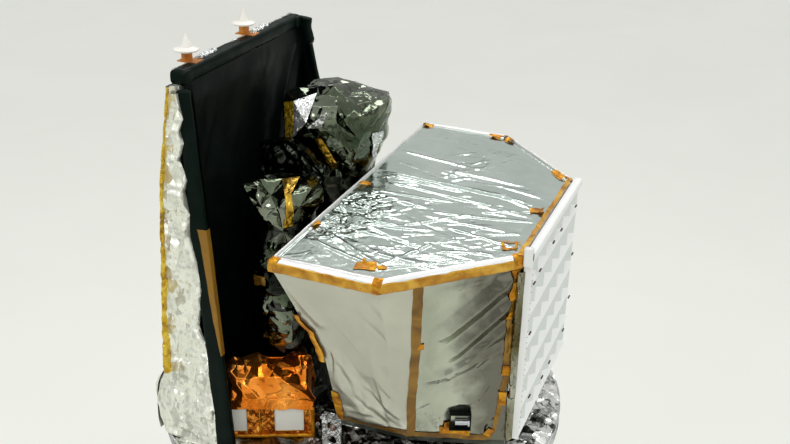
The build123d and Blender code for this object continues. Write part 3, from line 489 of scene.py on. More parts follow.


# The mask film's darker greenish spot is a painted reflection of the dark covers and sunshade beside it.
looks("silver_film", ((0.60, 0.69, 0.64), (0.70, 0.78, 0.73)), 1.0, (0.11, 0.19), 3.0, (0.0012, 0.12),
      (0.0003, 0.014), extra=painted_dark_spot((0.05, -0.42), (0.26, 0.42), (0.40, 0.46, 0.42)))
# The border is the mask's silver film over the rounded rim, coloured lighter than the top film as a painted
# highlight.
looks("silver_border_highlight", ((0.86, 0.87, 0.86), (0.94, 0.94, 0.92)), 0.85, (0.26, 0.38), 5.0,
      fine=(0.0010, 0.03))
looks("satin_grey_film", ((0.50, 0.495, 0.41), (0.58, 0.575, 0.48)), 0.9, (0.32, 0.40), 1.5, (0.0015, 0.30),
      grain=(0.00003, 0.003))
# The smoke film darkens towards its edge at the radiator: painted shade.
looks("smoke_film", ((0.36, 0.38, 0.30), (0.50, 0.52, 0.425)), 1.0, (0.20, 0.29), 2.2, (0.0015, 0.22),
      extra=painted_dark_spot((1.20, 0.0), (0.30, 9.0), (0.17, 0.165, 0.13)))
looks("amber_tape", ((0.38, 0.16, 0.008), (0.60, 0.30, 0.020), (0.74, 0.44, 0.060)), 0.5, (0.26, 0.42), 9.0,
      fine=(0.0012, 0.022), coat=(0.10, 0.1))
looks("orange_tape", ((0.32, 0.105, 0.001), (0.56, 0.225, 0.004), (0.76, 0.38, 0.014)), 0.5, (0.26, 0.42),
      16.0, fine=(0.0014, 0.016), coat=(0.08, 0.1), specular=0.3)
looks("brown_tape", ((0.14, 0.065, 0.006), (0.24, 0.118, 0.010), (0.33, 0.175, 0.022)), 0.35,
      (0.30, 0.44), 7.0, fine=(0.0010, 0.025), coat=(0.1, 0.1), specular=0.4)
looks("black_film", ((0.0018, 0.0032, 0.0030), (0.004, 0.0065, 0.006)), 0.0, (0.34, 0.48), 3.0,
      (0.003, 0.14), specular=0.08)
looks("dark_metal_film", ((0.16, 0.165, 0.14), (0.30, 0.305, 0.27), (0.40, 0.40, 0.37)), 1.0,
      (0.09, 0.20), 2.2, (0.003, 0.12), (0.0004, 0.03))
looks("deep_metal_film", ((0.012, 0.014, 0.011), (0.05, 0.055, 0.045), (0.11, 0.12, 0.10)), 1.0,
      (0.10, 0.24), 3.0, (0.004, 0.11), (0.0005, 0.03))
looks("cover_film", ((0.070, 0.085, 0.055), (0.145, 0.170, 0.125), (0.23, 0.26, 0.20)), 1.0, (0.07, 0.14),
      2.0, facet=(0.11, 0.34))
looks("fold_film", ((0.050, 0.064, 0.038), (0.115, 0.138, 0.092), (0.22, 0.245, 0.185)), 1.0,
      (0.08, 0.16), 3.0, facet=(0.09, 0.16))
looks("edge_film", ((0.10, 0.085, 0.035), (0.26, 0.25, 0.17), (0.46, 0.46, 0.38)), 1.0, (0.08, 0.18), 5.0,
      facet=(0.035, 0.55), stretch=(1, 1, 0.4))
looks("yellow_tape", ((0.36, 0.20, 0.008), (0.66, 0.42, 0.022), (0.85, 0.62, 0.08)), 0.6, (0.18, 0.34),
      14.0, facet=(0.022, 0.55))
looks("black_wrap_film", ((0.001, 0.005, 0.0032), (0.004, 0.010, 0.0075)), 0.0, (0.26, 0.40), 3.0,
      (0.0018, 0.10), specular=0.07)
looks("kraft_tape", ((0.14, 0.062, 0.005), (0.33, 0.165, 0.016)), 0.3, (0.26, 0.40), 6.0,
      fine=(0.0006, 0.02), stretch=(1, 1, 0.1))
looks("bright_foil", ((0.62, 0.64, 0.63), (0.92, 0.93, 0.92)), 0.8, (0.12, 0.24), 16.0, facet=(0.022, 0.75))
looks("bright_gold_foil", ((0.44, 0.26, 0.010), (0.80, 0.52, 0.03), (0.95, 0.70, 0.10)), 0.7,
      (0.14, 0.28), 22.0, facet=(0.018, 0.75))
looks("amber_crumple", ((0.30, 0.06, 0.003), (0.66, 0.18, 0.012), (0.92, 0.40, 0.06)), 0.85, (0.12, 0.26),
      14.0, facet=(0.028, 0.70))
looks("fastener", ((0.045, 0.012, 0.008), (0.09, 0.03, 0.015)), 0.0, (0.4, 0.5), 8.0)
looks("gold_dark_foil", ((0.16, 0.08, 0.008), (0.42, 0.24, 0.02), (0.70, 0.46, 0.06)), 0.9, (0.16, 0.30),
      12.0, fine=(0.0012, 0.012))
looks("amber_foil", ((0.42, 0.075, 0.003), (0.74, 0.19, 0.012), (0.90, 0.33, 0.05)), 0.92, (0.09, 0.20),
      3.5, (0.0006, 0.14), (0.0003, 0.016))
looks("white_blanket", ((0.78, 0.80, 0.69), (0.93, 0.94, 0.83)), 0.62, (0.20, 0.34), 7.0,
      facet=(0.055, 0.80), stretch=(1, 1, 0.45))
looks("white_paint", ((0.85, 0.86, 0.84), (0.90, 0.91, 0.89)), 0.0, (0.42, 0.56), 2.0,
      grain=(0.00008, 0.002))
looks("window_white", ((0.93, 0.92, 0.83), (0.96, 0.95, 0.86)), 0.0, (0.5, 0.6), 2.0)
# The radiator is white paint: its upward faces get the lighter colour as a painted highlight, and the
# grey-blue base on the other faces is painted shade.
looks("radiator_white", ((0.70, 0.745, 0.72), (0.73, 0.775, 0.75)), 0.0, (0.40, 0.52), 2.0,
      extra=painted_lit_tops(0.12, 0.30, (0.93, 0.94, 0.93)))
looks("antenna_base", ((0.42, 0.12, 0.008), (0.62, 0.24, 0.03)), 0.3, (0.3, 0.42), 9.0)
looks("machined_alloy", ((0.52, 0.53, 0.55), (0.64, 0.65, 0.67)), 1.0, (0.28, 0.44), 12.0,
      grain=(0.00006, 0.0008), stretch=(1, 1, 9))
looks("radome", ((0.80, 0.77, 0.70), (0.86, 0.84, 0.78)), 0.0, (0.26, 0.36), 8.0, grain=(0.00003, 0.003),
      coat=(0.2, 0.1))
looks("composite", ((0.022, 0.022, 0.025), (0.045, 0.045, 0.05)), 0.0, (0.28, 0.42), 30.0,
      grain=(0.00015, 0.0015), stretch=(1, 6, 1), coat=(0.25, 0.1))
looks("gold_mirror", ((0.80, 0.58, 0.24), (0.90, 0.68, 0.32)), 1.0, (0.06, 0.14), 5.0)
looks("solar_cells", ((0.016, 0.024, 0.085), (0.03, 0.045, 0.14)), 0.0, (0.10, 0.2), 6.0, coat=(0.8, 0.05),
      extra=cell_lines((0.079, 0.0415), 0.0022, (0.42, 0.43, 0.42)))
looks("bench_foil", ((0.03, 0.03, 0.025), (0.13, 0.12, 0.10), (0.52, 0.50, 0.46)), 1.0, (0.12, 0.26), 4.0,
      facet=(0.07, 0.55), extra=bright_border(1.02, 1.10, (0.84, 0.85, 0.82)))
looks("bus_film", ((0.58, 0.59, 0.58), (0.78, 0.79, 0.78)), 1.0, (0.16, 0.28), 2.5, facet=(0.16, 0.30))
looks("pale_floor", ((0.91, 0.92, 0.86), (0.93, 0.94, 0.88)), 0.0, (0.45, 0.6), 0.3, grain=(0.00004, 0.003))

NODE_LOOKS = {
    "machined_alloy": ("separation_ring", "bus_lower_deck", "bus_upper_deck", "bus_posts", "bench_struts",
                       "mask_panel", "radiator_standoffs", "port_sensor", "sunshade_gussets", "xray_lid",
                       "optical_lid", "array_drives", "array_holddowns", "far_shaft", "near_shaft"),
    "bus_film": ("bus_side_panels", "optical_bench"),
    "white_paint": ("bus_radiators",),
    "window_white": ("box_windows",),
    "radiator_white": ("radiator_panel",),
    "deep_metal_film": ("imager_base", "xray_tube", "optical_tube"),
    "bright_foil": ("imager_legs",),
    "amber_tape": ("mask_frame", "electronics_box"),
    "satin_grey_film": ("imager_shell",),
    "silver_film": ("mask_film",),
    "white_blanket": ("sunshade_panel", "sunshade_wings"),
    "black_wrap_film": ("sunshade_rim",),
    # imager_port is black as the painted shade inside the port's opening.
    "black_film": ("sunshade_liner", "optical_baffle", "imager_port"),
    "antenna_base": ("antenna_brackets",),
    "radome": ("cone_antennas",),
    "gold_mirror": ("xray_mirrors",),
    "dark_metal_film": ("xray_cover_skirt", "xray_cover_cap", "optical_cover_skirt", "optical_cover_cap"),
    "amber_foil": ("box_foil",),
    "composite": ("far_yoke", "near_yoke", "far_inner_panel", "near_inner_panel", "far_outer_panel",
                  "near_outer_panel"),
}
for look, names in NODE_LOOKS.items():
    for name in names:
        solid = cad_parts[name]
        solid.data.materials.clear()
        solid.data.materials.append(LOOKS[look])


# The imager's mask: top film, rolled border and the tape round its rim

FILM_PLANE = MASK_TOP - 0.008


def mask_height(x, y):
    """How far the top film stands over its flat plane, and how far each point is from the rim."""
    border = np.minimum(np.minimum(x + 0.05, 1.2 - np.abs(y)), (1.815 - x * 0.99 - np.abs(y)) * 0.7)
    border = np.minimum(border, 1.215 - x)
    crushed = near(x, y, 0.09, -0.45, 0.33, 0.46)
    h = folds(x, y,
              (26, 3, -4, 8, (0.4, 1.1), (0.012, 0.024), (0.003, 0.007), (0.1, 1.0, -1.0, 0.45)),
              (70, 5, 0, 32, (0.10, 0.40), (0.008, 0.017), (0.0015, 0.0042), (0.0, 1.1, -1.1, 0.2)),
              (22, 8, -10, 12, (0.2, 0.8), (0.008, 0.016), (0.0008, 0.0022), (0.0, 1.0, 0.3, 1.1)),
              (26, 17, 24, 12, (0.15, 0.5), (0.008, 0.015), (0.001, 0.0035), (0.45, 1.1, -0.95, -0.2)),
              (24, 19, 142, 12, (0.2, 0.6), (0.008, 0.016), (0.0015, 0.004), (0.0, 0.55, -1.15, -0.6)))
    h = (h + 0.0014 * crumple(x, y, 0.10, 61, 3, 0.6)) * held((border - 0.03) / 0.10)
    h += 0.010 * sway(x * 1.7, y * 1.7, 4)
    h += ridges(x, y, 26, 13, 62, 28, (0.08, 0.30), (0.010, 0.018), (0.002, 0.005), (0.34, 0.74, 0.30, 0.86))
    h += (0.011 * crumple(x, y, 0.085, 71, 3, 0.6) + 0.006 * wrinkles(x, y, 35, 0.05, 0.3, 5, 2.5)) * crushed
    for start, end, size in (
        ((0.00, 0.235), (1.00, 0.145), 0.010),
        ((0.02, 0.18), (0.62, 0.13), 0.006),
        ((0.15, 0.08), (1.02, -0.02), 0.006),
        ((0.01, -0.54), (0.44, -0.49), 0.008),
        ((0.44, -0.49), (0.77, -0.19), 0.008),
        ((0.02, -0.86), (0.52, -1.03), 0.008),
        ((0.10, -0.74), (0.55, -1.02), 0.007),
        ((0.52, -1.02), (0.70, -0.62), 0.006),
        ((0.56, -1.02), (0.95, -0.74), 0.006),
        ((1.12, -0.49), (0.72, -0.40), 0.006),
        ((1.12, 0.04), (0.80, 0.20), 0.006),
        ((1.12, 0.04), (0.82, -0.12), 0.005),
        ((0.00, 0.62), (0.55, 0.52), 0.005),
    ):
        h += size * line_crest(x, y, start, end, 0.020)
    return np.where(border < 0.03, 0.002, h), border


def drawn_in(outline, distances):
    """The outline's corners after each edge has moved inwards by its own distance."""
    result = []
    for i, here in enumerate(outline):
        normals = []
        for first, last in ((outline[i - 1], here), (here, outline[(i + 1) % len(outline)])):
            edge = np.array(last) - np.array(first)
            normals.append(np.array((-edge[1], edge[0])) / np.linalg.norm(edge))
        move = np.linalg.solve(np.array(normals), np.array((distances[i - 1], distances[i])))
        result.append(np.array(here) + move)
    return result


def rim_ring(profile, widths=(1, 1, 1, 1, 1, 1)):
    """A profile of (distance inwards, height) swept round the mask's outline."""
    rows = []
    for distance, z in profile:
        corners = drawn_in(MASK, [distance * width for width in widths])
        row = []
        for i, count in enumerate((60, 80, 110, 80, 60, 220)):
            t = np.arange(count)[:, None] / count
            row.append(corners[i] + (corners[(i + 1) % 6] - corners[i]) * t)
        row = np.concatenate(row)
        rows.append(np.column_stack([row, np.full(len(row), z)]))
    return np.array(rows)


def mask_film():
    part, y = spans((0, 1, 210), (-1.196, 1.196, 392))
    reach = np.where(np.abs(y) > 0.6, 0.6 + (1.2 - np.abs(y)) * 1.025, 1.215) - 0.004
    x = -0.046 + (reach + 0.046) * part
    z = FILM_PLANE + mask_height(x, y)[0]
    piece = film("mask_film_dressed", np.stack([x, y, z], -1), "silver_film")
    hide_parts("mask_film")


def mask_patches():
    """Orange tape over the film's clips and corners: x, y, width, depth and turn of each."""
    grids = []
    for i, (cx, cy, wide, deep, turn) in enumerate((
        (0.462, -1.040, 0.110, 0.085, 12), (0.548, -1.026, 0.050, 0.040, 40),
        (0.430, -0.990, 0.060, 0.020, 120), (1.118, -0.520, 0.090, 0.022, 35),
        (1.075, -0.505, 0.016, 0.080, 30), (1.095, -0.440, 0.120, 0.014, 10),
        (1.135, -0.450, 0.014, 0.070, 20), (1.122, 0.044, 0.080, 0.075, 5),
        (1.105, 0.640, 0.130, 0.050, -48), (0.520, 1.150, 0.090, 0.050, -15),
        (0.630, 1.120, 0.060, 0.050, 20), (0.000, 1.150, 0.090, 0.035, -8),
        (0.010, -0.020, 0.075, 0.045, 30), (-0.010, -0.690, 0.055, 0.035, 60),
    )):
        u, v = spans((-1, 1, 16), (-1, 1, 16))
        ragged = 1 + 0.35 * sway(u * 1.7 + 9 * i, v * 1.7, 3)
        c, s = math.cos(math.radians(turn)), math.sin(math.radians(turn))
        x = cx + (u * c * wide - v * s * deep) / 2 * ragged
        y = cy + (u * s * wide + v * c * deep) / 2 * ragged
        height, border = mask_height(x, y)
        rim = np.interp(border, (0.0, 0.014, 0.040, 0.070, 0.080), (4.684, 4.700, 4.709, 4.700, 4.690))
        z = np.maximum(FILM_PLANE + height, rim) + 0.003 + 0.003 * np.abs(crumple(x, y, 0.03, 4 + i, 2))
        grids.append(np.stack([x, y, z], -1))
    film("orange_patches", grids, "orange_tape")


def mask_rim():
    round_over = [(0.080, 4.690), (0.070, 4.700), (0.055, 4.7065), (0.040, 4.709), (0.026, 4.7065),
                  (0.014, 4.700), (0.006, 4.693), (0.001, 4.684), (0.000, 4.672)]
    border = rim_ring(round_over, (1, 0.72, 0.55, 0.30, 0.30, 0.30))
    s, d = share(border)
    border[..., 2] += 0.0022 * crumple(s * 0.5, d * 2, 0.06, 5, 2) * held(d / 0.02)
    # The rolled border takes the lighter silver: a painted highlight along the rim.
    film("mask_border", border, "silver_border_highlight", closed=True)
    band = rim_ring([(0.004, 4.688), (0.0005, 4.686), (-0.002, 4.682), (-0.0035, 4.672), (-0.004, 4.660),
                     (-0.004, 4.650), (-0.003, 4.640), (-0.001, 4.632), (0.004, 4.628)])
    s, d = share(band)
    edge = held(1 - d / 0.02) + held(1 - (d[-1:] - d) / 0.02)
    band[..., 2] += 0.005 * sway(s / 0.11, s * 0, 14) * edge
    band = raised(band, -0.0026 * crumple(s, d, 0.05, 9, 2) - 0.001)
    piece = film("mask_rim_tape", band, "amber_tape", closed=True)
    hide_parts("mask_frame")
    path = along([(1.196, -0.60, 4.7125), (1.196, 0.60, 4.7125)], 160)
    film("rim_side_tape", ribbon(path, (1, 0, 0), 0.030, 5, 0.0, 0.008, 4, 0.002), "amber_tape")
    knots = []
    for i, (corner, before, after) in enumerate(((1, 0.034, 0.022), (2, 0.050, 0.020), (3, 0.03, 0.04),
                                                 (4, 0.05, 0.03), (0, 0.02, 0.05), (5, 0.04, 0.02))):
        here = np.array(MASK[corner])
        back, ahead = units(np.array(MASK[corner - 1]) - here), units(np.array(MASK[(corner + 1) % 6]) - here)
        path = np.concatenate([here + back * before * np.linspace(1, 0, 8)[:, None],
                               here + ahead * after * np.linspace(0.12, 1, 8)[:, None]])
        inward = units(here - MASK_MIDDLE)
        rows = []
        for distance, z in ((-0.036, 4.713), (-0.024, 4.711), (-0.010, 4.704), (0.001, 4.695), (0.005, 4.682),
                            (0.006, 4.664), (0.005, 4.645), (0.002, 4.630)):
            rows.append(np.column_stack([path + inward * distance, np.full(16, z)]))
        grid = np.array(rows)
        x, y = share(grid)
        knots.append(grid + (0.003 * crumple(x, y, 0.025, 3 + i, 2))[..., None] * np.array((*inward, 0.5)))
    film("rim_corner_tapes", knots, "orange_tape")


mask_film()
mask_rim()
mask_patches()


# The imager's walls: one film per side, from the mask's rim to the foot

def corner_line(corner):
    """A wall's corner from its head to its foot."""
    head, foot = corner
    return np.array([(*head, FILM_HEAD), (*foot, SHELL_FOOT)])


def back_line(count):
    """The near wall's rear edge, drawn in where the film is slack."""
    line = along(corner_line(REAR_CORNER), count)
    t = (FILM_HEAD - line[:, 2]) / (RIM_BOTTOM - SHELL_FOOT)
    line[:, 0] += np.interp(t, (0, 0.226, 0.307, 0.372, 0.48, 0.593, 0.809, 1),
                            (0, 0.030, 0.034, 0.078, 0.086, 0.074, 0.036, 0))
    line[:, 1] += 0.018 * 4 * t * (1 - t)
    return line


def smooth_wall(back, seam):
    grid = filled([back[0], (0.594, -1.185, FILM_HEAD), seam[0]], [back[-1], seam[-1]], back, seam, 120, 96)
    x, z = grid[..., 0], grid[..., 2]
    down = (RIM_BOTTOM - z) / (RIM_BOTTOM - SHELL_FOOT)
    h = 0.010 * sway(x * 2.1, z * 1.6, 8)
    h += 0.020 * wrinkles(x, z, -38, 0.20, 0.7, 17, 2.0) * held((down - 0.45) / 0.5)
    h += folds(x, z,
               (16, 6, -52, 18, (0.12, 0.45), (0.016, 0.034), (0.004, 0.011), (0.12, 0.62, 3.5, 3.95)),
               (8, 9, 8, 12, (0.15, 0.35), (0.012, 0.02), (0.002, 0.005), (0.15, 0.62, 3.47, 3.62)),
               (6, 4, -60, 10, (0.2, 0.5), (0.02, 0.04), (0.002, 0.005), (0.05, 0.6, 4.0, 4.5)))
    h += 0.010 * line_crest(x, z, (0.02, 4.52), (0.20, 4.25), 0.05)
    h -= 0.012 * near(x, z, 0.62, 4.2, 0.16, 0.7)
    return raised(grid, -h * fade_edges(grid, 0.07))


def chamfer_wall(seam):
    """The mirror-like wall with its slanting folds; they leave the port free."""
    grid = wall_between(seam, corner_line(FRONT_CORNER), 130, 104)
    s, t = shares(130, 104)
    u, v = s * 0.60, t * 1.18
    h = 0.010 * sway(s * 2.5, t * 2.5, 3)
    for start, end, width, size in (
        ((0.59, 0.03), (0.10, 0.42), 0.075, 0.036),
        ((0.58, 0.20), (0.16, 0.58), 0.060, 0.030),
        ((0.57, 0.36), (0.26, 0.64), 0.050, 0.022),
        ((0.55, 0.52), (0.05, 0.74), 0.050, 0.020),
        ((0.16, 0.62), (0.34, 0.92), 0.050, 0.008),
        ((0.50, 0.60), (0.30, 1.00), 0.060, 0.012),
        ((0.05, 0.80), (0.24, 1.14), 0.060, 0.008),
        ((0.10, 0.07), (0.42, 0.04), 0.030, 0.008),
    ):
        h += 1.15 * size * line_crest(u, v, start, end, 1.1 * width, 0.25)
    h += folds(u, v,
               (34, 12, 128, 22, (0.06, 0.30), (0.010, 0.026), (0.002, 0.008), (0.05, 0.55, 0.45, 1.12)),
               (26, 15, 100, 25, (0.05, 0.20), (0.008, 0.016), (0.002, 0.007), (0.36, 0.58, 0.70, 1.15)),
               (10, 18, 20, 25, (0.05, 0.2), (0.008, 0.014), (0.001, 0.003), (0.02, 0.5, 0.02, 0.12)))
    h += 0.003 * crumple(u, v, 0.16, 19)
    port = near(s, t, 0.52, 0.885, 0.26, 0.13)
    return raised(grid, (0.012 * port - h * (1 - port)) * fade_edges(grid, 0.05))


def side_walls(side, label):
    """The smooth wall, the chamfer wall and their tapes, on one side."""
    def dress(kind, grids, look):
        film(f"{label}_{kind}", [grid * np.array((1, -side, 1)) for grid in grids], look)

    seam = along([(0.760, -1.022, 4.633), (0.742, -0.966, 4.38), (0.714, -0.906, 4.12), (0.678, -0.842, 3.80),
                  (0.655, -0.788, 3.45)], 40)
    smooth = smooth_wall(back_line(60), seam)
    dress("wall_film", [smooth], "satin_grey_film")
    shiny = chamfer_wall(seam)
    dress("chamfer_film", [shiny], "smoke_film")

    path = along(seam, 60) + np.array((0.0, -0.003, 0.003))
    edge = np.array(((0.955, 0.02), (0.955, 0.10), (0.965, 0.196), (0.940, 0.297), (0.950, 0.563),
                     (0.935, 0.703), (0.875, 0.939), (0.80, 0.99)))
    skipped = np.interp(edge[:, 1], (0, 0.402, 1), (0.274, 0.160, 0.008))
    edge[:, 0] = (edge[:, 0] - skipped) / (1 - skipped)
    bands = [ribbon(path, (0.83, 0.55, 0.0), 0.056, 5, 0.004, 0.008, 6, 0.001)]
    for values in (
        (shiny, edge, 0.034, 0.004, 0.016, 8, 120),
        (smooth, [(0.01, 0.982), (0.50, 0.985), (0.97, 0.985)], 0.046, 0.004, 0.008, 12, 90),
        (shiny, [(0.03, 0.985), (0.40, 0.985), (0.80, 0.982)], 0.040, 0.004, 0.008, 16, 90),
        (shiny, [(0.955, 0.30), (0.955, 0.47)], 0.020, 0.009, 0.012, 21, 40),
    ):
        bands.append(tape_on(*values))
    dress("wall_tapes", bands, "brown_tape")
    dress("wall_patches", [tape_on(*values) for values in (
        (shiny, [(0.015, 0.388), (0.080, 0.386)], 0.046, 0.006, 0.006, 2, 14),
        (shiny, [(0.965, 0.07), (0.962, 0.17)], 0.062, 0.008, 0.02, 22, 24),
        (shiny, [(0.94, 0.235), (0.935, 0.275)], 0.040, 0.008, 0.02, 25, 16),
        (shiny, [(0.945, 0.545), (0.94, 0.60)], 0.046, 0.008, 0.02, 27, 16),
        (shiny, [(0.935, 0.70), (0.925, 0.78)], 0.048, 0.008, 0.02, 31, 20),
        (shiny, [(0.85, 0.93), (0.80, 0.975)], 0.050, 0.008, 0.02, 33, 16),
        (shiny, [(0.30, 0.945), (0.62, 0.955)], 0.052, 0.010, 0.012, 35, 34),
        (shiny, [(0.36, 0.895), (0.37, 0.965)], 0.040, 0.011, 0.016, 36, 20),
        (shiny, [(0.965, 0.012), (0.962, 0.05)], 0.055, 0.006, 0.01, 37, 12),
        (smooth, [(0.035, 0.80), (0.045, 0.995)], 0.055, 0.006, 0.02, 41, 30),
    )], "orange_tape")
    flap = back_line(90)[24:52] + np.array((-0.016, -0.010, 0.0))
    strip = ribbon(flap, (0.97, -0.22, 0.0), 0.048, 7, 0.0, 0.016, 8, 0.006)
    strip[..., 1] -= 0.004 * crumple(strip[..., 0], strip[..., 2], 0.04, 5, 2)
    dress("edge_flap", [strip], "orange_tape")
    t, z = spans((0, 1, 16), (4.615, 3.475, 150))
    arch = np.sin(np.pi * t)
    y = -0.604 + 0.010 * t - 0.030 * arch * (0.6 + 0.8 * smooth_noise(z / 0.12, t * 2, 3))
    y -= 0.008 * crumple(z, t * 0.06, 0.06, 9, 3, 0.6) * arch
    dress("edge_crumple", [np.stack([1.186 + 0.052 * t, y, z], -1)], "edge_film")


def back_and_front_walls():
    mirror = np.array((1, -1, 1))
    line = back_line(60)
    grid = wall_between(line * mirror, line, 90, 130)
    y, z = grid[..., 1], grid[..., 2]
    h = 0.014 * crumple(y, z, 0.30, 7) + 0.018 * wrinkles(y, z, 80, 0.16, 0.9, 12, 2.5)
    piece = film("back_wall_film", raised(grid, -h * fade_edges(grid, 0.05)), "dark_metal_film")
    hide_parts("imager_shell")
    line = corner_line(FRONT_CORNER)
    grid = wall_between(line, line * mirror, 60, 60)
    grid = raised(grid, -0.006 * crumple(grid[..., 1], grid[..., 2], 0.2, 27) * fade_edges(grid, 0.05))
    film("radiator_side_film", grid, "satin_grey_film")


for side, label in ((-1, "near"), (1, "far")):
    side_walls(side, label)
back_and_front_walls()


# The radiator's trim

TICKS = ((0.084, 4.580), (-0.110, 4.584), (-0.408, 4.541), (-0.532, 4.519), (0.466, 4.579), (0.512, 4.213),
         (0.550, 3.866), (-0.533, 4.190), (0.105, 3.608), (-0.083, 3.607), (-0.400, 3.665), (0.462, 3.653))


def radiator_dress():
    """The band over the radiator's folded edge, its clamp, and the dark fasteners at the cells."""
    band = [along([(x, -0.598, z), (x, 0.598, z)], 90) for x, z in (
        (1.2745, 4.672), (1.2760, 4.688), (1.2755, 4.714), (1.272, 4.7195), (1.250, 4.7200), (1.228, 4.7195),
        (1.2245, 4.712))]
    edges = [along([(x, y, 4.672), (x, y, 3.476)], 90) for x, y in (
        (1.2735, -0.583), (1.2750, -0.590), (1.2735, -0.5975), (1.262, -0.5985), (1.240, -0.5985),
        (1.226, -0.597))]
    film("radiator_edge_bands", [np.array(band), np.array(edges)], "white_paint")
    out, across, up = (1, 0, 0), (0, 1, 0), (0, 0, 1)
    ends = [(1.250, -0.606, z) for z in (4.650, 4.772)]
    clamp = soft_bar(*ends, out, across, 0.026, 0.018, 24, 20, 5.0, 0.1)
    film("radiator_clamp", clamp, "white_paint", closed=True)
    pegs = []
    for y, z in TICKS:
        ends = [(1.276, y + half, z) for half in (-0.028, 0.028)]
        pegs.append(soft_bar(*ends, up, out, 0.0045, 0.005, 6, 8, 4.0, 0.1))
    for k in range(30):
        if k % 5 != 4:
            ends = [(1.274, -0.590, 4.60 - 0.037 * k + half) for half in (-0.004, 0.004)]
            pegs.append(soft_bar(*ends, across, out, 0.0035, 0.003, 4, 6, 4.0, 0.1))
    film("radiator_fasteners", pegs, "fastener", closed=True)
    # The black bar is painted shade in the clamp's slot.
    ends = [(1.2775, -0.606, z) for z in (4.690, 4.745)]
    slot = soft_bar(*ends, across, out, 0.004, 0.002, 6, 8, 4.0, 0.1)
    film("clamp_slot", slot, "black_film", closed=True)


radiator_dress()


# The sunshade

SHADE_HEIGHTS = (0.0, 1.750, 2.300)
SHADE_PLACES = ((-0.945, -0.916, -0.884), (0.990, 0.880, 0.792),
                (-0.423, -0.688, -0.765), (1.060, 0.830, 0.760))
RIM_MIDDLE = 5.488


def shade_at(height):
    """Outer corner x and y and front edge x and y, at heights over the bench."""
    return [np.interp(height, SHADE_HEIGHTS, places) for places in SHADE_PLACES]


def wing_directions(side, height):
    """Unit directions to the front edge and out of a side wing, and the wing's depth."""
    x, y, fx, fy = shade_at(height)
    dx, dy = fx - x, fy - y
    length = np.hypot(dx, dy)
    sides = np.stack([dx / length, side * dy / length, 0 * dx], -1)
    ups = np.stack([-dy / length, side * dx / length, 0 * dx], -1)
    return sides, ups, length


def wing_face(side, s, height, out):
    """Points on a side wing's outer face: s is 0 at the corner and 1 at the front edge."""
    x, y = shade_at(height)[:2]
    sides, ups, length = wing_directions(side, height)
    corner = np.stack([x, side * y, BENCH + height], -1)
    return corner + sides * (length * s)[..., None] + ups * (out + 0 * length)[..., None]


def wing_blankets():
    """White blankets over both wings; their front edge is ragged."""
    rows, columns = 290, 58
    t, height = spans((0, 1, columns), (2.27, 0.01, rows))
    left = np.interp(height, (0, 0.10, 0.22, 0.36, 0.46, 0.52), (-0.04, -0.16, -0.20, -0.15, -0.05, -0.02))
    right = np.interp(
        height,
        (0.0, 0.05, 0.29, 0.515, 0.60, 0.715, 0.84, 1.00, 1.08, 1.27,
         1.42, 1.55, 1.69, 1.76, 1.88, 1.98, 2.05, 2.12, 2.26),
        (0.77, 0.77, 0.775, 0.73, 0.76, 0.73, 0.63, 0.70, 0.76, 0.72,
         0.60, 0.66, 0.56, 0.67, 0.46, 0.63, 0.51, 0.64, 0.45))
    s = left + (right - left) * t
    grids = []
    for side in (-1, 1):
        flat = wing_face(side, s, height, 0.0)
        x = np.hypot(flat[..., 0] + 0.95, flat[..., 1] + side * 0.99)
        h = 0.026 + 0.014 * smooth_noise(x / 0.16, height / 0.20, 6 + side)
        h += 0.017 * crumple(x, height * 0.8, 0.11, 5 + side, 3, 0.6, 0.2)
        h += folds(
            x, height,
            (90, 31 + side, 68, 26, (0.08, 0.32), (0.010, 0.022), (0.004, 0.012), (0.0, 0.42, 0.0, 2.25)),
            (60, 41 + side, 118, 20, (0.08, 0.30), (0.010, 0.020), (0.004, 0.011), (0.0, 0.42, 0.0, 1.4)))
        edge = held(t / 0.05) * held((1 - t) / 0.10)
        grids.append(wing_face(side, s, height, 0.004 + np.maximum(h, 0.002) * edge ** 0.5))
    piece = film("wing_blankets", grids, "white_blanket")
    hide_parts("sunshade_wings")


def back_blanket():
    across, height = spans((-1, 1, 130), (2.29, 0.0, 150))
    x, y = shade_at(height)[:2]
    place = across * y
    h = 0.016 * crumple(place, height * 0.7, 0.13, 15, 3, 0.6, 0.2)
    h += 0.012 * wrinkles(place, height, 84, 0.08, 0.5, 19, 2.5)
    h += ridges(place, height, 60, 51, 80, 26, (0.15, 0.5), (0.014, 0.026), (0.004, 0.012),
                (-0.9, 0.9, 0.1, 2.2))
    bulge = near(place, height, -0.93, 0.18, 0.35, 0.34) * 0.085
    out = 0.012 + h * held((1 - np.abs(across)) / 0.02) + bulge
    film("back_blanket", np.stack([x - out, place, BENCH + height], -1), "white_blanket")


def corner_tapes():
    height = np.linspace(2.31, 0.47, 170)
    part = np.linspace(-1, 1, 9)[:, None]
    s = 0.030 + 0.060 * part + 0.012 * sway(height / 0.05, height * 0, 4)
    s = s + 0.010 * sway(height / 0.11, height * 0, 9) * part
    tall = height + 0 * s
    out = 0.058 + 0.007 * crumple(s * 0.5, tall, 0.035, 12, 2, 0.6) - 0.03 * np.abs(part) ** 4
    film("corner_tapes", [wing_face(side, s, tall, out) for side in (-1, 1)], "yellow_tape")


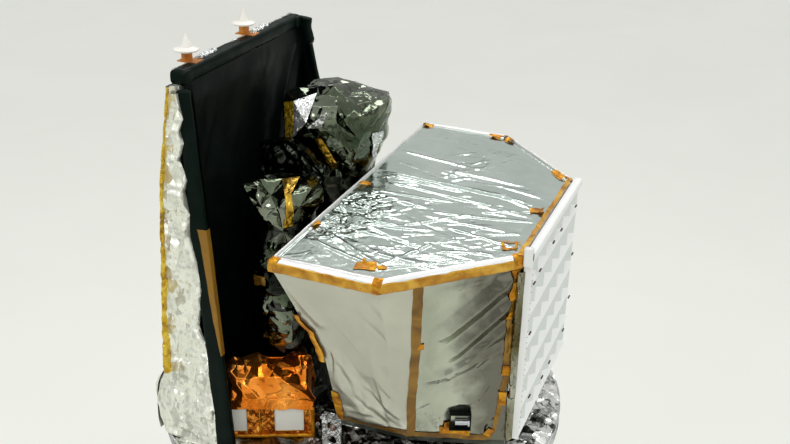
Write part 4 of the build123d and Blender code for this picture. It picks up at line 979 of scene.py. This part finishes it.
def inner_films():
    """Black film that hangs in long folds over the inside of the panel and both wings."""
    heights = np.linspace(2.30, 0.02, 120)
    lines = []
    for height in heights:
        x, y, fx, fy = shade_at(height)
        x, y, fx, fy = x + 0.060, y - 0.055, fx - 0.02, fy - 0.055
        line = [(fx, -fy), (x, -y), (x, y), (fx, fy)]
        lines.append(np.column_stack([along(line, 230), np.full(230, BENCH + height)]))
    grid = np.array(lines)
    s = share(grid)[0]
    height = heights[:, None] + 0 * s
    h = 0.030 * wrinkles(s, height, 88, 0.20, 1.6, 3, 1.3) + 0.012 * smooth_noise(s / 0.12, height / 0.7, 13)
    h += ridges(s, height, 26, 23, 80, 14, (0.3, 0.9), (0.02, 0.04), (0.003, 0.009), (0.2, 2.6, 0.6, 2.2))
    h += 0.006 * crumple(s, height * 0.6, 0.2, 8, 2)
    h *= held(np.minimum(s, s[:, -1:] - s) / 0.05) * np.clip((2.31 - height) / 0.12, 0.15, 1)
    normal = facing(grid)
    normal *= np.sign(((np.array((0.6, 0.0, 4.3)) - grid) * normal).sum(-1, keepdims=True))
    piece = film("shade_inner_film", grid + normal * h[..., None], "black_film")
    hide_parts("sunshade_liner")


def front_strips():
    """The black wrap down the front edge of each wing, and the amber strip over the near one."""
    height = np.linspace(2.29, 0.0, 170)
    reach = np.interp(height, (0, 0.65, 1.45, 1.75, 2.3), (0.080, 0.058, 0.055, 0.046, 0.042))
    grids = []
    for side in (-1, 1):
        sides, ups, length = wing_directions(side, height)
        centres = wing_face(side, 1 - (reach + 0.002) / length, height, -0.006)
        bar = sweep(centres, sides, ups, reach, 0.020, 30, 5.0, 0.012)
        grids.append(creased_bar(bar, 0.005, 0.16, 31 + side, 0.4))
    film("front_strips", grids, "black_wrap_film", closed=True)

    heights = np.linspace(1.47, 0.68, 70)
    left = np.interp(heights, (0.68, 0.90, 1.09, 1.30, 1.42, 1.47), (1.0, 0.93, 0.90, 0.86, 0.83, 0.80))
    face = [wing_face(-1, left + (1.005 - left) * s, heights, 0.018) for s in (0, 0.33, 0.66, 1.0)]
    for step in (0.010, 0.022, 0.034, 0.040):
        face.append(face[3] + np.array((0.003, step, 0)))
    grid = np.array(face)
    grid += (0.004 * crumple(*share(grid), 0.05, 3))[..., None] * np.array((0.3, -1, 0))
    film("amber_edge_strip", grid, "kraft_tape")


def rim_wrap():
    """The roll of black film over the sunshade's top edge, with the flap at the far corner."""
    out, across, up = (1, 0, 0), (0, 1, 0), (0, 0, 1)
    ends = [(-0.8615, y, RIM_MIDDLE) for y in (-0.748, 0.748)]
    bars = [soft_bar(*ends, out, up, 0.050, 0.047, 230, 34, 3.2, 0.02)]
    for y in (-0.7005, 0.7005):
        ends = [(x, y, RIM_MIDDLE) for x in (-0.910, -0.800)]
        bars.append(soft_bar(*ends, across, up, 0.046, 0.040, 60, 34, 3.6, 0.12))
    bars = [creased_bar(bar, 0.005, 0.15, 51 + i, 0.5) for i, bar in enumerate(bars)]
    heights = np.linspace(2.365, 2.17, 50)
    sides, ups, length = wing_directions(1, heights)
    centres = wing_face(1, 1.0, heights, -0.018) - sides * 0.035
    reach = np.interp(heights, (2.17, 2.21, 2.365), (0.040, 0.060, 0.072))
    bars.append(creased_bar(sweep(centres, sides, ups, reach, 0.030, 34, 3.4, 0.05), 0.008, 0.12, 77, 0.8))
    piece = film("rim_wrap", bars, "black_wrap_film", closed=True)
    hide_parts("sunshade_rim")


def rim_silver_line():
    line = along([(-0.892, -0.742, 5.532), (-0.888, 0.735, 5.532)], 220)
    strip = ribbon(line, (1.0, 0, 0.1), 0.016, 4, 0.0, 0.010, 5)
    strip[..., 2] += 0.003 * sway(line[:, 1] / 0.03, line[:, 1] * 0, 3) + 0.003
    spots = []
    for place, size in ((-0.42, 0.07), (-0.33, 0.05), (0.215, 0.075), (0.32, 0.05)):
        u, v = spans((-1, 1, 26), (-1, 1, 26))
        r = held(1 - np.maximum(np.abs(u), np.abs(v)))
        lump = held(r * 5) * (1 + crumple(u * 0.03, v * size, 0.022, 3))
        z = 5.531 + 0.010 * lump - 0.02 * (1 - held(r * 6))
        spots.append(np.stack([-0.883 + u * 0.026, place + v * size, z], -1))
    film("rim_silver_line", [strip] + spots, "bright_foil")


wing_blankets()
back_blanket()
corner_tapes()
inner_films()
front_strips()
rim_wrap()
rim_silver_line()


# The telescopes' loose film covers

WRAP_FOOT, WRAP_HEAD = 3.153, 3.97
COVER_FOOT = 3.93
TIE_TURN, TIE_HEIGHT = 0.07, 4.475


def round_axis(centre, turn, r, z):
    """Points round an upright axis; a turn of 0 looks at the camera."""
    x = centre[0] + r * np.cos(turn + CAMERA_SIDE)
    return np.stack([x, centre[1] + r * np.sin(turn + CAMERA_SIDE), z], -1)


def wrapped(centre, low, high, radius, rows, columns):
    """A closed film round an upright axis: radius is a function of (turn, height)."""
    turn, t = round_shares(rows, columns)
    z = high + (low - high) * t
    return round_axis(centre, turn, radius(turn, z), z)


def round_noise(turn, z, kind):
    """Noise in (turn, height) that meets itself behind the tube."""
    mix = held((np.abs(turn) / math.pi - 0.85) / 0.15)
    a = kind(turn * 0.22, z)
    b = kind((turn - np.sign(turn) * 2 * math.pi) * 0.22, z)
    return a * (1 - mix / 2) + b * mix / 2


def wavy(turn, z, width, height, seed):
    return round_noise(turn, z, lambda a, b: smooth_noise(a / width, b / height, seed))


def crushed(turn, z, *values):
    return round_noise(turn, z, lambda a, b: np.abs(crumple(a, b, 0.15, *values)))


def bag_patch(centre, radius, corners, lift, rough, seed, rows, columns, size):
    """A four-sided patch on a cover: corners are (turn, height), from top left clockwise."""
    a, b, c, d = np.array(corners)
    s, t = (v[..., None] for v in shares(rows, columns))
    places = (a * (1 - s) + b * s) * (1 - t) + (d * (1 - s) + c * s) * t
    turn, z = places[..., 0], places[..., 1]
    edge = np.minimum(np.minimum(s, 1 - s), np.minimum(t, 1 - t))[..., 0]
    turn = turn + 0.03 * sway(turn * 9, z * 30, seed)
    z = z + 0.012 * sway(turn * 9, z * 30, seed + 3)
    h = rough * np.abs(crumple(turn * 0.3, z, size, seed, 3, 0.6)) * np.clip(edge * 6, 0.3, 1)
    return round_axis(centre, turn, radius(turn, z) + lift + h, z)


def folded(name, centre, points, parts, look, body, bulge, rough):
    """Film folded into flat pieces: points are (turn, height, radius), named a, b, c in their order."""
    steps = 9
    corners = {chr(97 + i): round_axis(centre, turn, r, z) for i, (turn, z, r) in enumerate(points)}
    inner = np.array((*centre, 4.4 if points[-1][1] < 4.9 else 4.7))
    vertices, faces = [], []
    for i, part in enumerate(parts.split()):
        a, b, c = (corners[key] for key in part)
        normal = units(np.cross(b - a, c - a))
        normal *= 1 if normal @ ((a + b + c) / 3 - inner) > 0 else -1
        index = {}
        for j in range(steps + 1):
            for k in range(steps + 1 - j):
                u, v = j / steps, k / steps
                w = 1 - u - v
                place = a * w + b * u + c * v
                noise = crumple(place[:1] + 2 * place[1:2], place[2:] + place[:1], 0.045, 3 + i, 2)[0]
                edge = 27 * u * v * w
                index[j, k] = len(vertices)
                vertices.append(place + normal * (bulge * edge + rough * noise * min(1, 3 * edge)))
        for j in range(steps):
            for k in range(steps - j):
                faces.append((index[j, k], index[j + 1, k], index[j, k + 1]))
                if k < steps - j - 1:
                    faces.append((index[j + 1, k], index[j + 1, k + 1], index[j, k + 1]))
    add_mesh(name, vertices, faces, look, body)


def near_skirt(turn, z):
    """The radius of the film below the near cover's tie."""
    below = held((4.47 - z) / 0.10)
    r = 0.203 + 0.020 * below + 0.028 * bell(turn, -0.55, 0.5) * below * held((z - 4.02) / 0.10)
    r += 0.045 * bell(turn, -0.30, 0.6) * bell(z, 3.86, 0.20) + below * 0.020 * wavy(turn, z, 0.10, 0.30, 8)
    return r + 0.026 * crushed(turn, z, 31, 3, 0.5, 0.25) * (0.1 + 0.9 * below)


def near_tube_wrap(turn, z):
    r = 0.214 + 0.040 * wavy(turn, z, 0.09, 0.35, 5) + 0.022 * crushed(turn, z, 9, 3, 0.55)
    return r + 0.05 * held((3.35 - z) / 0.2)


def near_bag():
    """The near cover's head: film folded to a tie in front, on the door and below it."""
    points = (
        (-1.03, 4.765, 0.302), (-1.10, 4.765, 0.160), (0.72, 4.750, 0.021), (1.78, 4.750, 0.101),
        (2.49, 4.700, 0.290), (1.50, 4.690, 0.245), (1.19, 4.620, 0.262), (0.80, 4.576, 0.262),
        (0.04, 4.490, 0.245), (-0.91, 4.716, 0.288), (-0.74, 4.644, 0.287), (-0.39, 4.575, 0.272),
        (-0.66, 4.757, 0.240), (-0.45, 4.690, 0.160), (0.91, 4.742, 0.236), (0.47, 4.664, 0.268),
        (0.21, 4.725, 0.222), (0.14, 4.628, 0.272), (-0.10, 4.650, 0.250), (-0.42, 4.670, 0.280),
    )
    seam = (
        (-0.20, 4.760, 0.040), (1.60, 4.760, 0.100), (0.12, 4.738, 0.228), (0.30, 4.738, 0.231),
        (0.14, 4.650, 0.286), (0.30, 4.640, 0.286), (0.06, 4.520, 0.262), (0.30, 4.532, 0.262),
    )
    for kind, corners, parts, look, slot, body, bulge, rough in (
        ("bag_film", points,
         "abm amj bnm bcn cqn cdq doq deo efo jmt mnt nst nqs qrs qop qpr ofp",
         "fold_film", "dark_cover_film", "optical_door", 0.006, 0.004),
        ("bag_foot", points, "jtk fgp ghp ktl tsl sri sil rpi phi",
         "fold_film", "dark_cover_film", "observatory", 0.006, 0.004),
        ("bag_seam", seam, "abc bdc cde dfe", "gold_dark_foil", "amber_film", "optical_door", 0.004, 0.006),
        ("foot_seam", seam, "efg fhg", "gold_dark_foil", "amber_film", "observatory", 0.004, 0.006),
    ):
        folded(f"optical_{kind}", NEAR_TUBE, corners, parts, look, body, bulge, rough)


def near_cap():
    turn, t = round_shares(64, 150)
    stops = (0, 0.55, 0.70, 0.84, 1.0)
    r = np.interp(t, stops, (0.002, 0.190, 0.228, 0.252, 0.256))
    drop = np.interp(t, stops, (0, 0.004, 0.018, 0.048, 0.078))
    px, py = r * np.cos(turn + CAMERA_SIDE), r * np.sin(turn + CAMERA_SIDE)
    h = 0.012 * crumple(px, py, 0.15, 41, 2, 0.36, 0.0) * held(r / 0.04) * held((1.0 - t) / 0.25)
    z = 4.692 - 0.022 * (px * 0.37 - py * 0.93) / 0.25 - drop + h
    wave = 1 + 0.05 * sway(turn * 3.5, t * 0, 3) * held((t - 0.6) / 0.2)
    cap = round_axis(NEAR_TUBE, turn, r * wave, z)
    piece = film("optical_cap_film", cap, "cover_film", "optical_door", closed=True)
    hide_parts("optical_cover_cap")


def near_cover():
    """The near telescope: film gathered to a tie in front, with dark film down to the bench."""
    skirt = wrapped(NEAR_TUBE, COVER_FOOT, 4.612, near_skirt, 110, 190)
    piece = film("optical_skirt_film", skirt, "deep_metal_film", closed=True)
    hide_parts("optical_cover_skirt")
    k, t = spans((-1.95, 1.95, 150), (0, 1, 14))
    z = TIE_HEIGHT - 0.005 - 0.055 * t
    r = 0.232 + 0.016 * t * (1 + smooth_noise(k * 6, z * 9, 3))
    tail = round_axis(NEAR_TUBE, TIE_TURN + (k - TIE_TURN) * (0.05 + 0.16 * t), r, z)
    film("optical_gathered_film", tail, "cover_film")
    near_bag()
    corners = ((-0.80, 4.160), (-0.42, 4.175), (-0.40, 4.105), (-0.74, 4.085))
    patch = bag_patch(NEAR_TUBE, lambda turn, z: 0.275, corners, 0.0, 0.012, 9, 24, 24, 0.05)
    film("optical_amber_seams", patch, "brown_tape")
    fronts = [bag_patch(NEAR_TUBE, *values) for values in (
        (lambda turn, z: 0.262, ((-0.85, 4.030), (0.22, 4.060), (0.20, 3.680), (-0.66, 3.640)),
         0.0, 0.022, 15, 40, 50, 0.22),
        (near_skirt, ((-0.20, 4.430), (0.05, 4.430), (-0.36, 4.270), (-0.62, 4.250)),
         0.014, 0.012, 18, 30, 24, 0.09),
        (near_skirt, ((-0.62, 4.250), (-0.38, 4.270), (-1.25, 3.990), (-1.35, 3.970)),
         0.014, 0.010, 19, 36, 20, 0.09),
        (near_skirt, ((0.00, 4.400), (0.60, 4.380), (0.45, 4.180), (-0.15, 4.200)),
         0.010, 0.014, 29, 26, 30, 0.10),
    )]
    film("optical_front_films", fronts, "fold_film")
    wrap = wrapped(NEAR_TUBE, WRAP_FOOT, WRAP_HEAD, near_tube_wrap, 70, 130)
    film("optical_tube_wrap", wrap, "deep_metal_film", closed=True)
    near_cap()


def far_skirt(turn, z):
    """The radius of the far cover: a head with lobes to both sides."""
    head = held((z - 4.58) / 0.14)
    lobes = 1 + bell(turn, -1.35, 0.45) + bell(turn, 0.55, 0.5)
    r = 0.300 + 0.012 * head * lobes + 0.058 * bell(turn, 1.50, 0.45) * held((z - 4.66) / 0.15)
    r += 0.026 * round_noise(turn, z, lambda a, b: crumple(a * 1.25, b, 0.17, 25, 2, 0.40, 0.0))
    r += 0.7 * round_noise(turn, z, lambda a, b: ridges(
        a, b, 14, 5, 62, 35, (0.10, 0.34), (0.010, 0.020), (0.006, 0.015), (-0.5, 0.5, 4.55, 5.15)))
    return np.maximum(r - 0.045 * bell(turn, 0.15, 0.30) * bell(z, 4.62, 0.10), 0.266)


def far_tube_wrap(turn, z):
    return 0.278 + 0.030 * wavy(turn, z, 0.09, 0.35, 15) + 0.022 * crushed(turn, z, 19, 3, 0.55)


def far_cap():
    turn, t = round_shares(96, 220)
    stops = (0, 0.38, 0.56, 0.70, 0.82, 1.0)
    z = np.interp(t, stops, (5.150, 5.142, 5.105, 5.040, 4.985, 4.925))
    r = far_skirt(turn, z) * np.interp(t, stops, (0.004, 0.66, 0.90, 1.0, 1.02, 1.012)) + 0.004
    px, py = r * np.cos(turn + CAMERA_SIDE), r * np.sin(turn + CAMERA_SIDE)
    h = 0.020 * crumple(px, py, 0.23, 43, 2, 0.36, 0.0)
    h += ridges(px, py, 8, 7, 30, 50, (0.10, 0.28), (0.010, 0.02), (0.004, 0.010), (-0.3, 0.3, -0.3, 0.3))
    cap = round_axis(FAR_TUBE, turn, r, z + h * held(r / 0.04) * held((0.75 - t) / 0.25))
    piece = film("xray_cap_film", cap, "cover_film", "xray_door", closed=True)
    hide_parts("xray_cover_cap")


def far_bag():
    """The far cover's folded head: dark film with a silver and a gold turned-over flap."""
    points = (
        (-1.54, 5.150, 0.105), (2.19, 5.155, 0.131), (0.51, 5.120, 0.280), (-0.49, 5.120, 0.200),
        (0.04, 5.135, 0.212), (0.09, 5.185, 0.100), (-0.10, 5.080, 0.275), (0.12, 5.010, 0.345),
        (0.28, 5.060, 0.380), (0.55, 5.060, 0.385), (-0.24, 4.982, 0.360), (0.19, 4.883, 0.360),
        (0.39, 4.713, 0.355), (0.53, 4.891, 0.385), (-0.42, 4.970, 0.366), (2.17, 5.120, 0.230),
        (1.95, 5.070, 0.400), (1.60, 5.000, 0.395), (0.95, 4.917, 0.390), (0.64, 4.944, 0.385),
        (-0.55, 5.140, 0.195), (-1.10, 4.776, 0.366), (-0.28, 4.911, 0.362), (-1.22, 4.657, 0.350),
        (1.25, 5.100, 0.400), (-1.30, 5.075, 0.338),
    )
    flaps = (
        (-1.05, 5.094, 0.366), (-0.75, 5.130, 0.360), (-0.44, 5.170, 0.228), (-0.42, 5.013, 0.390),
        (-0.92, 4.804, 0.387), (-0.67, 4.932, 0.394), (-0.41, 4.974, 0.384), (-0.04, 5.110, 0.400),
        (-0.15, 4.985, 0.384), (-0.20, 5.055, 0.394),
    )
    for kind, corners, parts, look, slot, body, bulge, rough in (
        ("film", points,
         "zau afd adu abf fbc fce fed deg eci eih ehg cji ijn inh ghk gko dgo udo bpc pjc pyj pqy "
         "qry yrs yst ytj tnj zuo zov",
         "fold_film", "dark_cover_film", "xray_door", 0.008, 0.005),
        ("foot", points, "hnl hlk lnm vow vwx", "fold_film", "dark_cover_film", "observatory", 0.008, 0.005),
        ("silver", flaps, "bcd bdf fde ghj gji jhi",
         "bright_foil", "crumpled_foil", "xray_door", 0.002, 0.004),
        ("gold", flaps, "abf afe", "bright_gold_foil", "amber_foil", "xray_door", 0.002, 0.004),
    ):
        folded(f"xray_bag_{kind}", FAR_TUBE, corners, parts, look, body, bulge, rough)


def far_cover():
    """The far telescope: a bulky bag of film with lobes to both sides."""
    low = wrapped(FAR_TUBE, COVER_FOOT, 4.66, lambda turn, z: far_skirt(turn, z) - 0.006, 90, 170)
    film("xray_low_film", low, "deep_metal_film", closed=True)
    head = wrapped(FAR_TUBE, 4.60, 4.965, far_skirt, 90, 250)
    piece = film("xray_skirt_film", head, "cover_film", closed=True)
    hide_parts("xray_cover_skirt")
    wrap = wrapped(FAR_TUBE, WRAP_FOOT, WRAP_HEAD, far_tube_wrap, 60, 130)
    film("xray_tube_wrap", wrap, "deep_metal_film", closed=True)
    far_cap()
    silver, *gold = [bag_patch(FAR_TUBE, far_skirt, corners, 0.010, *values) for corners, *values in (
        (((0.86, 4.900), (1.22, 4.885), (1.00, 4.700), (0.95, 4.690)), 0.016, 8, 26, 26, 0.05),
        (((-0.34, 4.890), (-0.20, 4.905), (0.16, 4.690), (0.02, 4.660)), 0.012, 13, 30, 14, 0.05),
        (((-1.30, 4.70), (-1.10, 4.75), (-0.80, 4.68), (-1.20, 4.61)), 0.014, 14, 18, 18, 0.06),
    )]
    film("xray_silver_folds", silver, "bright_foil")
    film("xray_gold_folds", gold, "gold_dark_foil")
    far_bag()


def cover_crumple():
    """Black film pushed up between the telescopes, behind the near cover."""
    s, t = shares(50, 90)
    x = -0.800 + 0.46 * s
    top = 4.84 + 0.07 * smooth_noise(s * 4, s * 0, 5) - 0.10 * np.abs(2 * s - 1) ** 3
    z = top + (4.45 - top) * held((t - 0.2) / 0.8) ** 1.3
    y = 0.060 - 0.055 * np.cos(held(t / 0.4) * np.pi) * held(1 - t) + 0.02 * t
    h = 0.034 * crumple(x, z, 0.13, 15) * np.clip(t / 0.1, 0.2, 1)
    film("cover_crumple", np.stack([x + 0.3 * h, y - np.abs(h), z], -1), "deep_metal_film")


near_cover()
far_cover()
cover_crumple()


# The electronics box under its tent of amber foil

BOX_TURN = math.radians(24.6)
BOX_CORNER = (-0.561, -0.902)


def at_box(u, v, z):
    """Points over the box: u along its window side, v to its back, z over the bench."""
    x = BOX_CORNER[0] + u * math.cos(BOX_TURN) - v * math.sin(BOX_TURN)
    y = BOX_CORNER[1] + u * math.sin(BOX_TURN) + v * math.cos(BOX_TURN)
    return np.stack([x, y, BENCH + z], -1)


def box_tent():
    u, t = spans((-0.012, 0.550, 150), (0, 1, 120))
    stops = (0, 0.12, 0.45, 0.74, 0.80, 1.0)
    v = np.interp(t, stops, (0.290, 0.262, 0.130, 0.008, -0.016, -0.022))
    z = np.interp(t, stops, (0.262, 0.445, 0.452, 0.335, 0.300, 0.228))
    z += 0.034 * smooth_noise(u / 0.15, t * 2.0, 12) * held(1 - np.abs(t - 0.40) / 0.5)
    z += 0.016 * sway(u / 0.06, t * 0, 3) * held((t - 0.8) / 0.2)
    z -= held((np.abs(u - 0.269) - 0.235) / 0.045) ** 2 * 0.10 * held((0.85 - t) / 0.2)
    grid = at_box(u, v, z)
    x, y = share(grid)
    h = 0.050 * crumple(x, y, 0.135, 6, 2, 0.36, 0.0)
    h += ridges(x, y, 16, 4, 60, 40, (0.10, 0.25), (0.015, 0.03), (0.006, 0.016), (0.0, 0.56, 0.05, 0.40))
    h = np.maximum(h, -0.014) * held((t - 0.02) / 0.1) * np.where(t > 0.80, 0.30, 1.0)
    normal = facing(grid)
    normal *= np.sign(normal[..., 2:3] + 0.001)
    piece = film("box_foil_tent", grid + normal * h[..., None], "amber_foil")
    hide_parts("box_foil")


def box_films():
    """Amber film over the box's sides, round its windows, and the tape along its edges."""
    def skin(first, last, size, seed):
        u, z = spans(first, last)
        return u, 0.003 + 0.006 * np.abs(crumple(u, z, size, seed, 3, 0.6)), z

    sheets = []
    for u0, u1, z1 in ((-0.006, 0.022, 0.24), (0.122, 0.300, 0.24), (0.488, 0.544, 0.25),
                       (0.022, 0.122, 0.046), (0.300, 0.488, 0.046)):
        columns, rows = max(6, int((u1 - u0) / 0.006)), max(6, int(z1 / 0.006))
        u, h, z = skin((u0, u1, columns), (0.0, z1, rows), 0.045, 14)
        sheets.append(at_box(u, -h, z))
    v, h, z = skin((0.0, 0.28, 46), (0.0, 0.262, 44), 0.06, 24)
    sheets += [at_box(0.541 + h, v, z), at_box(-0.003 - h, v, z)]
    u, h, z = skin((0.0, 0.538, 60), (0.0, 0.262, 36), 0.06, 34)
    sheets.append(at_box(u, 0.280 + h, z))
    film("box_side_film", sheets, "amber_crumple")
    rails = []
    for start, end, half in (
        ((-0.012, -0.012, 0.018), (0.556, -0.012, 0.018), 0.012),
        ((0.548, -0.012, 0.0), (0.548, -0.012, 0.235), 0.011),
        ((-0.006, -0.010, 0.0), (-0.006, -0.010, 0.235), 0.008),
        ((0.207, -0.014, 0.03), (0.207, -0.014, 0.22), 0.004),
    ):
        a, b = at_box(*start), at_box(*end)
        ahead = units(b - a)
        side = (0, 0, 1) if abs(ahead[2]) < 0.5 else (math.cos(BOX_TURN), math.sin(BOX_TURN), 0)
        bar = soft_bar(a, b, side, np.cross(ahead, side), half, half, 50, 14, 3.0, 0.04)
        rails.append(creased_bar(bar, 0.003, 0.03, 5))
    film("box_rails", rails, "orange_tape", closed=True)


box_tent()
box_films()


# The bench's foil, the blankets of the bus and the solar cells

BUS_SKIN = 0.945
BUS_LOW, BUS_HIGH = 0.145, 2.745
DRIVE_HEIGHT = 1.445


def bench_foil():
    turn = np.linspace(0, 2 * math.pi, 260, endpoint=False)
    turn, r = np.meshgrid(turn, np.linspace(0.02, 1.362, 64))
    x, y = r * np.cos(turn), r * np.sin(turn)
    h = np.clip(0.010 + 0.009 * crumple(x, y, 0.11, 3, 3, 0.6), 0.002, 0.03)
    h *= np.clip((1.364 - r) / 0.05, 0.1, 1)
    film("bench_foil", np.stack([x, y, BENCH + 0.001 + h], -1), "bench_foil", closed=True)


def bus_blankets():
    """Foil on the eight sides, with gaps for the radiators, the drives and the hold-down posts."""
    half = 0.95 * math.tan(math.radians(22.5)) - 0.004
    window = 0.285
    whole = [(-half, half, BUS_LOW, BUS_HIGH)]
    framed = [(-half, -window, BUS_LOW, BUS_HIGH), (window, half, BUS_LOW, BUS_HIGH)]
    framed += [(-window, window, *span) for span in ((BUS_LOW, 0.315), (1.405, 1.485), (2.575, BUS_HIGH))]
    grids = []
    for k in range(8):
        turn = math.radians(45 * k)
        for y0, y1, z0, z1 in framed if k in (7, 0, 1) else whole:
            columns, rows = max(5, int((y1 - y0) / 0.026)), max(6, int((z1 - z0) / 0.026))
            y, z = spans((y0, y1, columns), (z0, z1, rows))
            soft = held(np.minimum(np.minimum(y - y0, y1 - y), np.minimum(z - z0, z1 - z)) / 0.03) ** 0.5
            if k in (2, 6):
                soft = soft * held((np.hypot(y, z - DRIVE_HEIGHT) - 0.125) / 0.02)
                post = np.hypot(np.abs(y) - 0.296, np.abs(z - DRIVE_HEIGHT) - 0.56)
                soft = np.where(post < 0.05, 0, soft)
            h = 0.008 + 0.009 * crumple(y + k, z, 0.14, 3 + k, 3, 0.55)
            h += 0.005 * wrinkles(y + k, z, 70, 0.1, 0.5, k, 2.5)
            x = BUS_SKIN + np.maximum(0.002 + soft * h, 0.001)
            c, s = math.cos(turn), math.sin(turn)
            grids.append(np.stack([x * c - y * s, x * s + y * c, z], -1))
    film("bus_blankets", grids, "bus_film")


def solar_cell_strings():
    """Cells on the face of each panel that points at the sun when the wing is open."""
    for side, label in ((1, "far"), (-1, "near")):
        for name, plane in (("inner", 1.1408), ("outer", 1.2172)):
            grids = []
            for i in range(7):
                for j in range(28):
                    x0, z0 = -0.306 + i * 0.0874, 0.258 + j * 0.0849
                    x, z = np.meshgrid((x0, x0 + 0.0846), (z0, z0 + 0.0820))
                    grids.append(np.stack([x, side * plane + 0 * x, z], -1))
            film(f"{label}_{name}_cells", grids, "solar_cells", f"{label}_{name}_panel_body",
                 smooth=False)


bench_foil()
bus_blankets()
solar_cell_strings()


# The camera, light and floor

CAMERA_PLACE = (2.4144, -5.5454, 7.3064)
CAMERA_TURNS = (21.6575, 25.5079, 1.1475)
FOCAL_SHARE = 1026.2 / 790


def place_camera():
    azimuth, elevation, roll = (math.radians(v) for v in CAMERA_TURNS)
    ahead = Vector((-math.sin(azimuth) * math.cos(elevation), math.cos(azimuth) * math.cos(elevation),
                    -math.sin(elevation)))
    right = Vector((math.cos(azimuth), math.sin(azimuth), 0))
    up = right.cross(ahead)
    right_rolled = right * math.cos(roll) + up * math.sin(roll)
    up_rolled = up * math.cos(roll) - right * math.sin(roll)
    data = bpy.data.cameras.new("camera")
    data.sensor_fit = "HORIZONTAL"
    data.sensor_width = 36.0
    data.lens = FOCAL_SHARE * 36.0
    data.clip_end = 400.0
    camera = bpy.data.objects.new("camera", data)
    bpy.context.scene.collection.objects.link(camera)
    turn = Matrix((right_rolled, up_rolled, -ahead)).transposed().to_4x4()
    camera.matrix_world = Matrix.Translation(CAMERA_PLACE) @ turn
    bpy.context.scene.camera = camera


def area_light(name, place, target, size, power):
    data = bpy.data.lights.new(name, "AREA")
    data.shape = "RECTANGLE"
    data.size, data.size_y = size
    data.energy = power
    lamp = bpy.data.objects.new(name, data)
    bpy.context.scene.collection.objects.link(lamp)
    lamp.location = place
    lamp.rotation_euler = (Vector(target) - Vector(place)).to_track_quat("-Z", "Y").to_euler()


def world_light():
    """A pale room with a dark band, brighter to the right and front; the camera sees a plain wall."""
    world = bpy.data.worlds.new("room_light")
    bpy.context.scene.world = world
    world.use_nodes = True
    tree = world.node_tree
    background = tree.nodes["Background"]
    parts = split(tree, node(tree, "ShaderNodeTexCoord", {})["Generated"])
    colour = node(tree, "ShaderNodeValToRGB", {"Fac": spread(tree, parts["Z"], -1, 1, 0, 1)})["Color"]
    stops = colour.node.color_ramp.elements
    stops[0].position, stops[0].color = 0.0, (0.46, 0.46, 0.44, 1)
    stops[1].position, stops[1].color = 1.0, (0.80, 0.82, 0.83, 1)
    for position, value in ((0.48, 0.36), (0.51, 0.20), (0.57, 0.26), (0.63, 0.66), (0.74, 0.62),
                            (0.86, 0.76)):
        stops.new(position).color = (value, value, value * 0.98, 1)
    looked_at = node(tree, "ShaderNodeLightPath", {})["Is Camera Ray"]
    tree.links.new(mixed(tree, looked_at, colour, (0.82, 0.83, 0.79)), background.inputs["Color"])
    ahead = number(tree, "ADD", number(tree, "MULTIPLY", parts["X"], 0.75),
                   number(tree, "MULTIPLY", parts["Y"], -0.66))
    hidden = number(tree, "SUBTRACT", 1.0, looked_at)
    strength = number(tree, "MULTIPLY", spread(tree, ahead, -0.3, 0.8, 0.92, 1.55), hidden)
    tree.links.new(number(tree, "ADD", strength, looked_at), background.inputs["Strength"])


def floor():
    x, y = spans((-90, 90, 9), (-60, 140, 9))
    points = np.stack([x, y, 0 * x], -1).reshape(-1, 3)
    mesh = bpy.data.meshes.new("floor")
    mesh.from_pydata([tuple(v) for v in points], [], grid_faces(9, 9))
    mesh.materials.append(LOOKS["pale_floor"])
    ground = bpy.data.objects.new("floor", mesh)
    bpy.context.scene.collection.objects.link(ground)


place_camera()
world_light()
floor()
area_light("ceiling_left", (-4.5, -2.5, 10.5), (-0.3, -0.3, 4.3), (0.9, 4.5), 75)
area_light("ceiling_right", (2.6, 3.5, 11.5), (0.4, 0.0, 4.3), (0.9, 5.0), 80)
area_light("ceiling_front", (-1.5, -7.5, 11.5), (-0.2, -0.3, 4.3), (4.0, 0.8), 75)
area_light("ceiling_back", (-2.5, 7.0, 11.5), (-0.2, 0.3, 4.5), (4.5, 0.8), 80)
area_light("ceiling_middle", (0.6, 1.2, 12.5), (0.2, 0.0, 4.6), (0.7, 5.0), 70)

bpy.context.scene.view_settings.view_transform = "Standard"
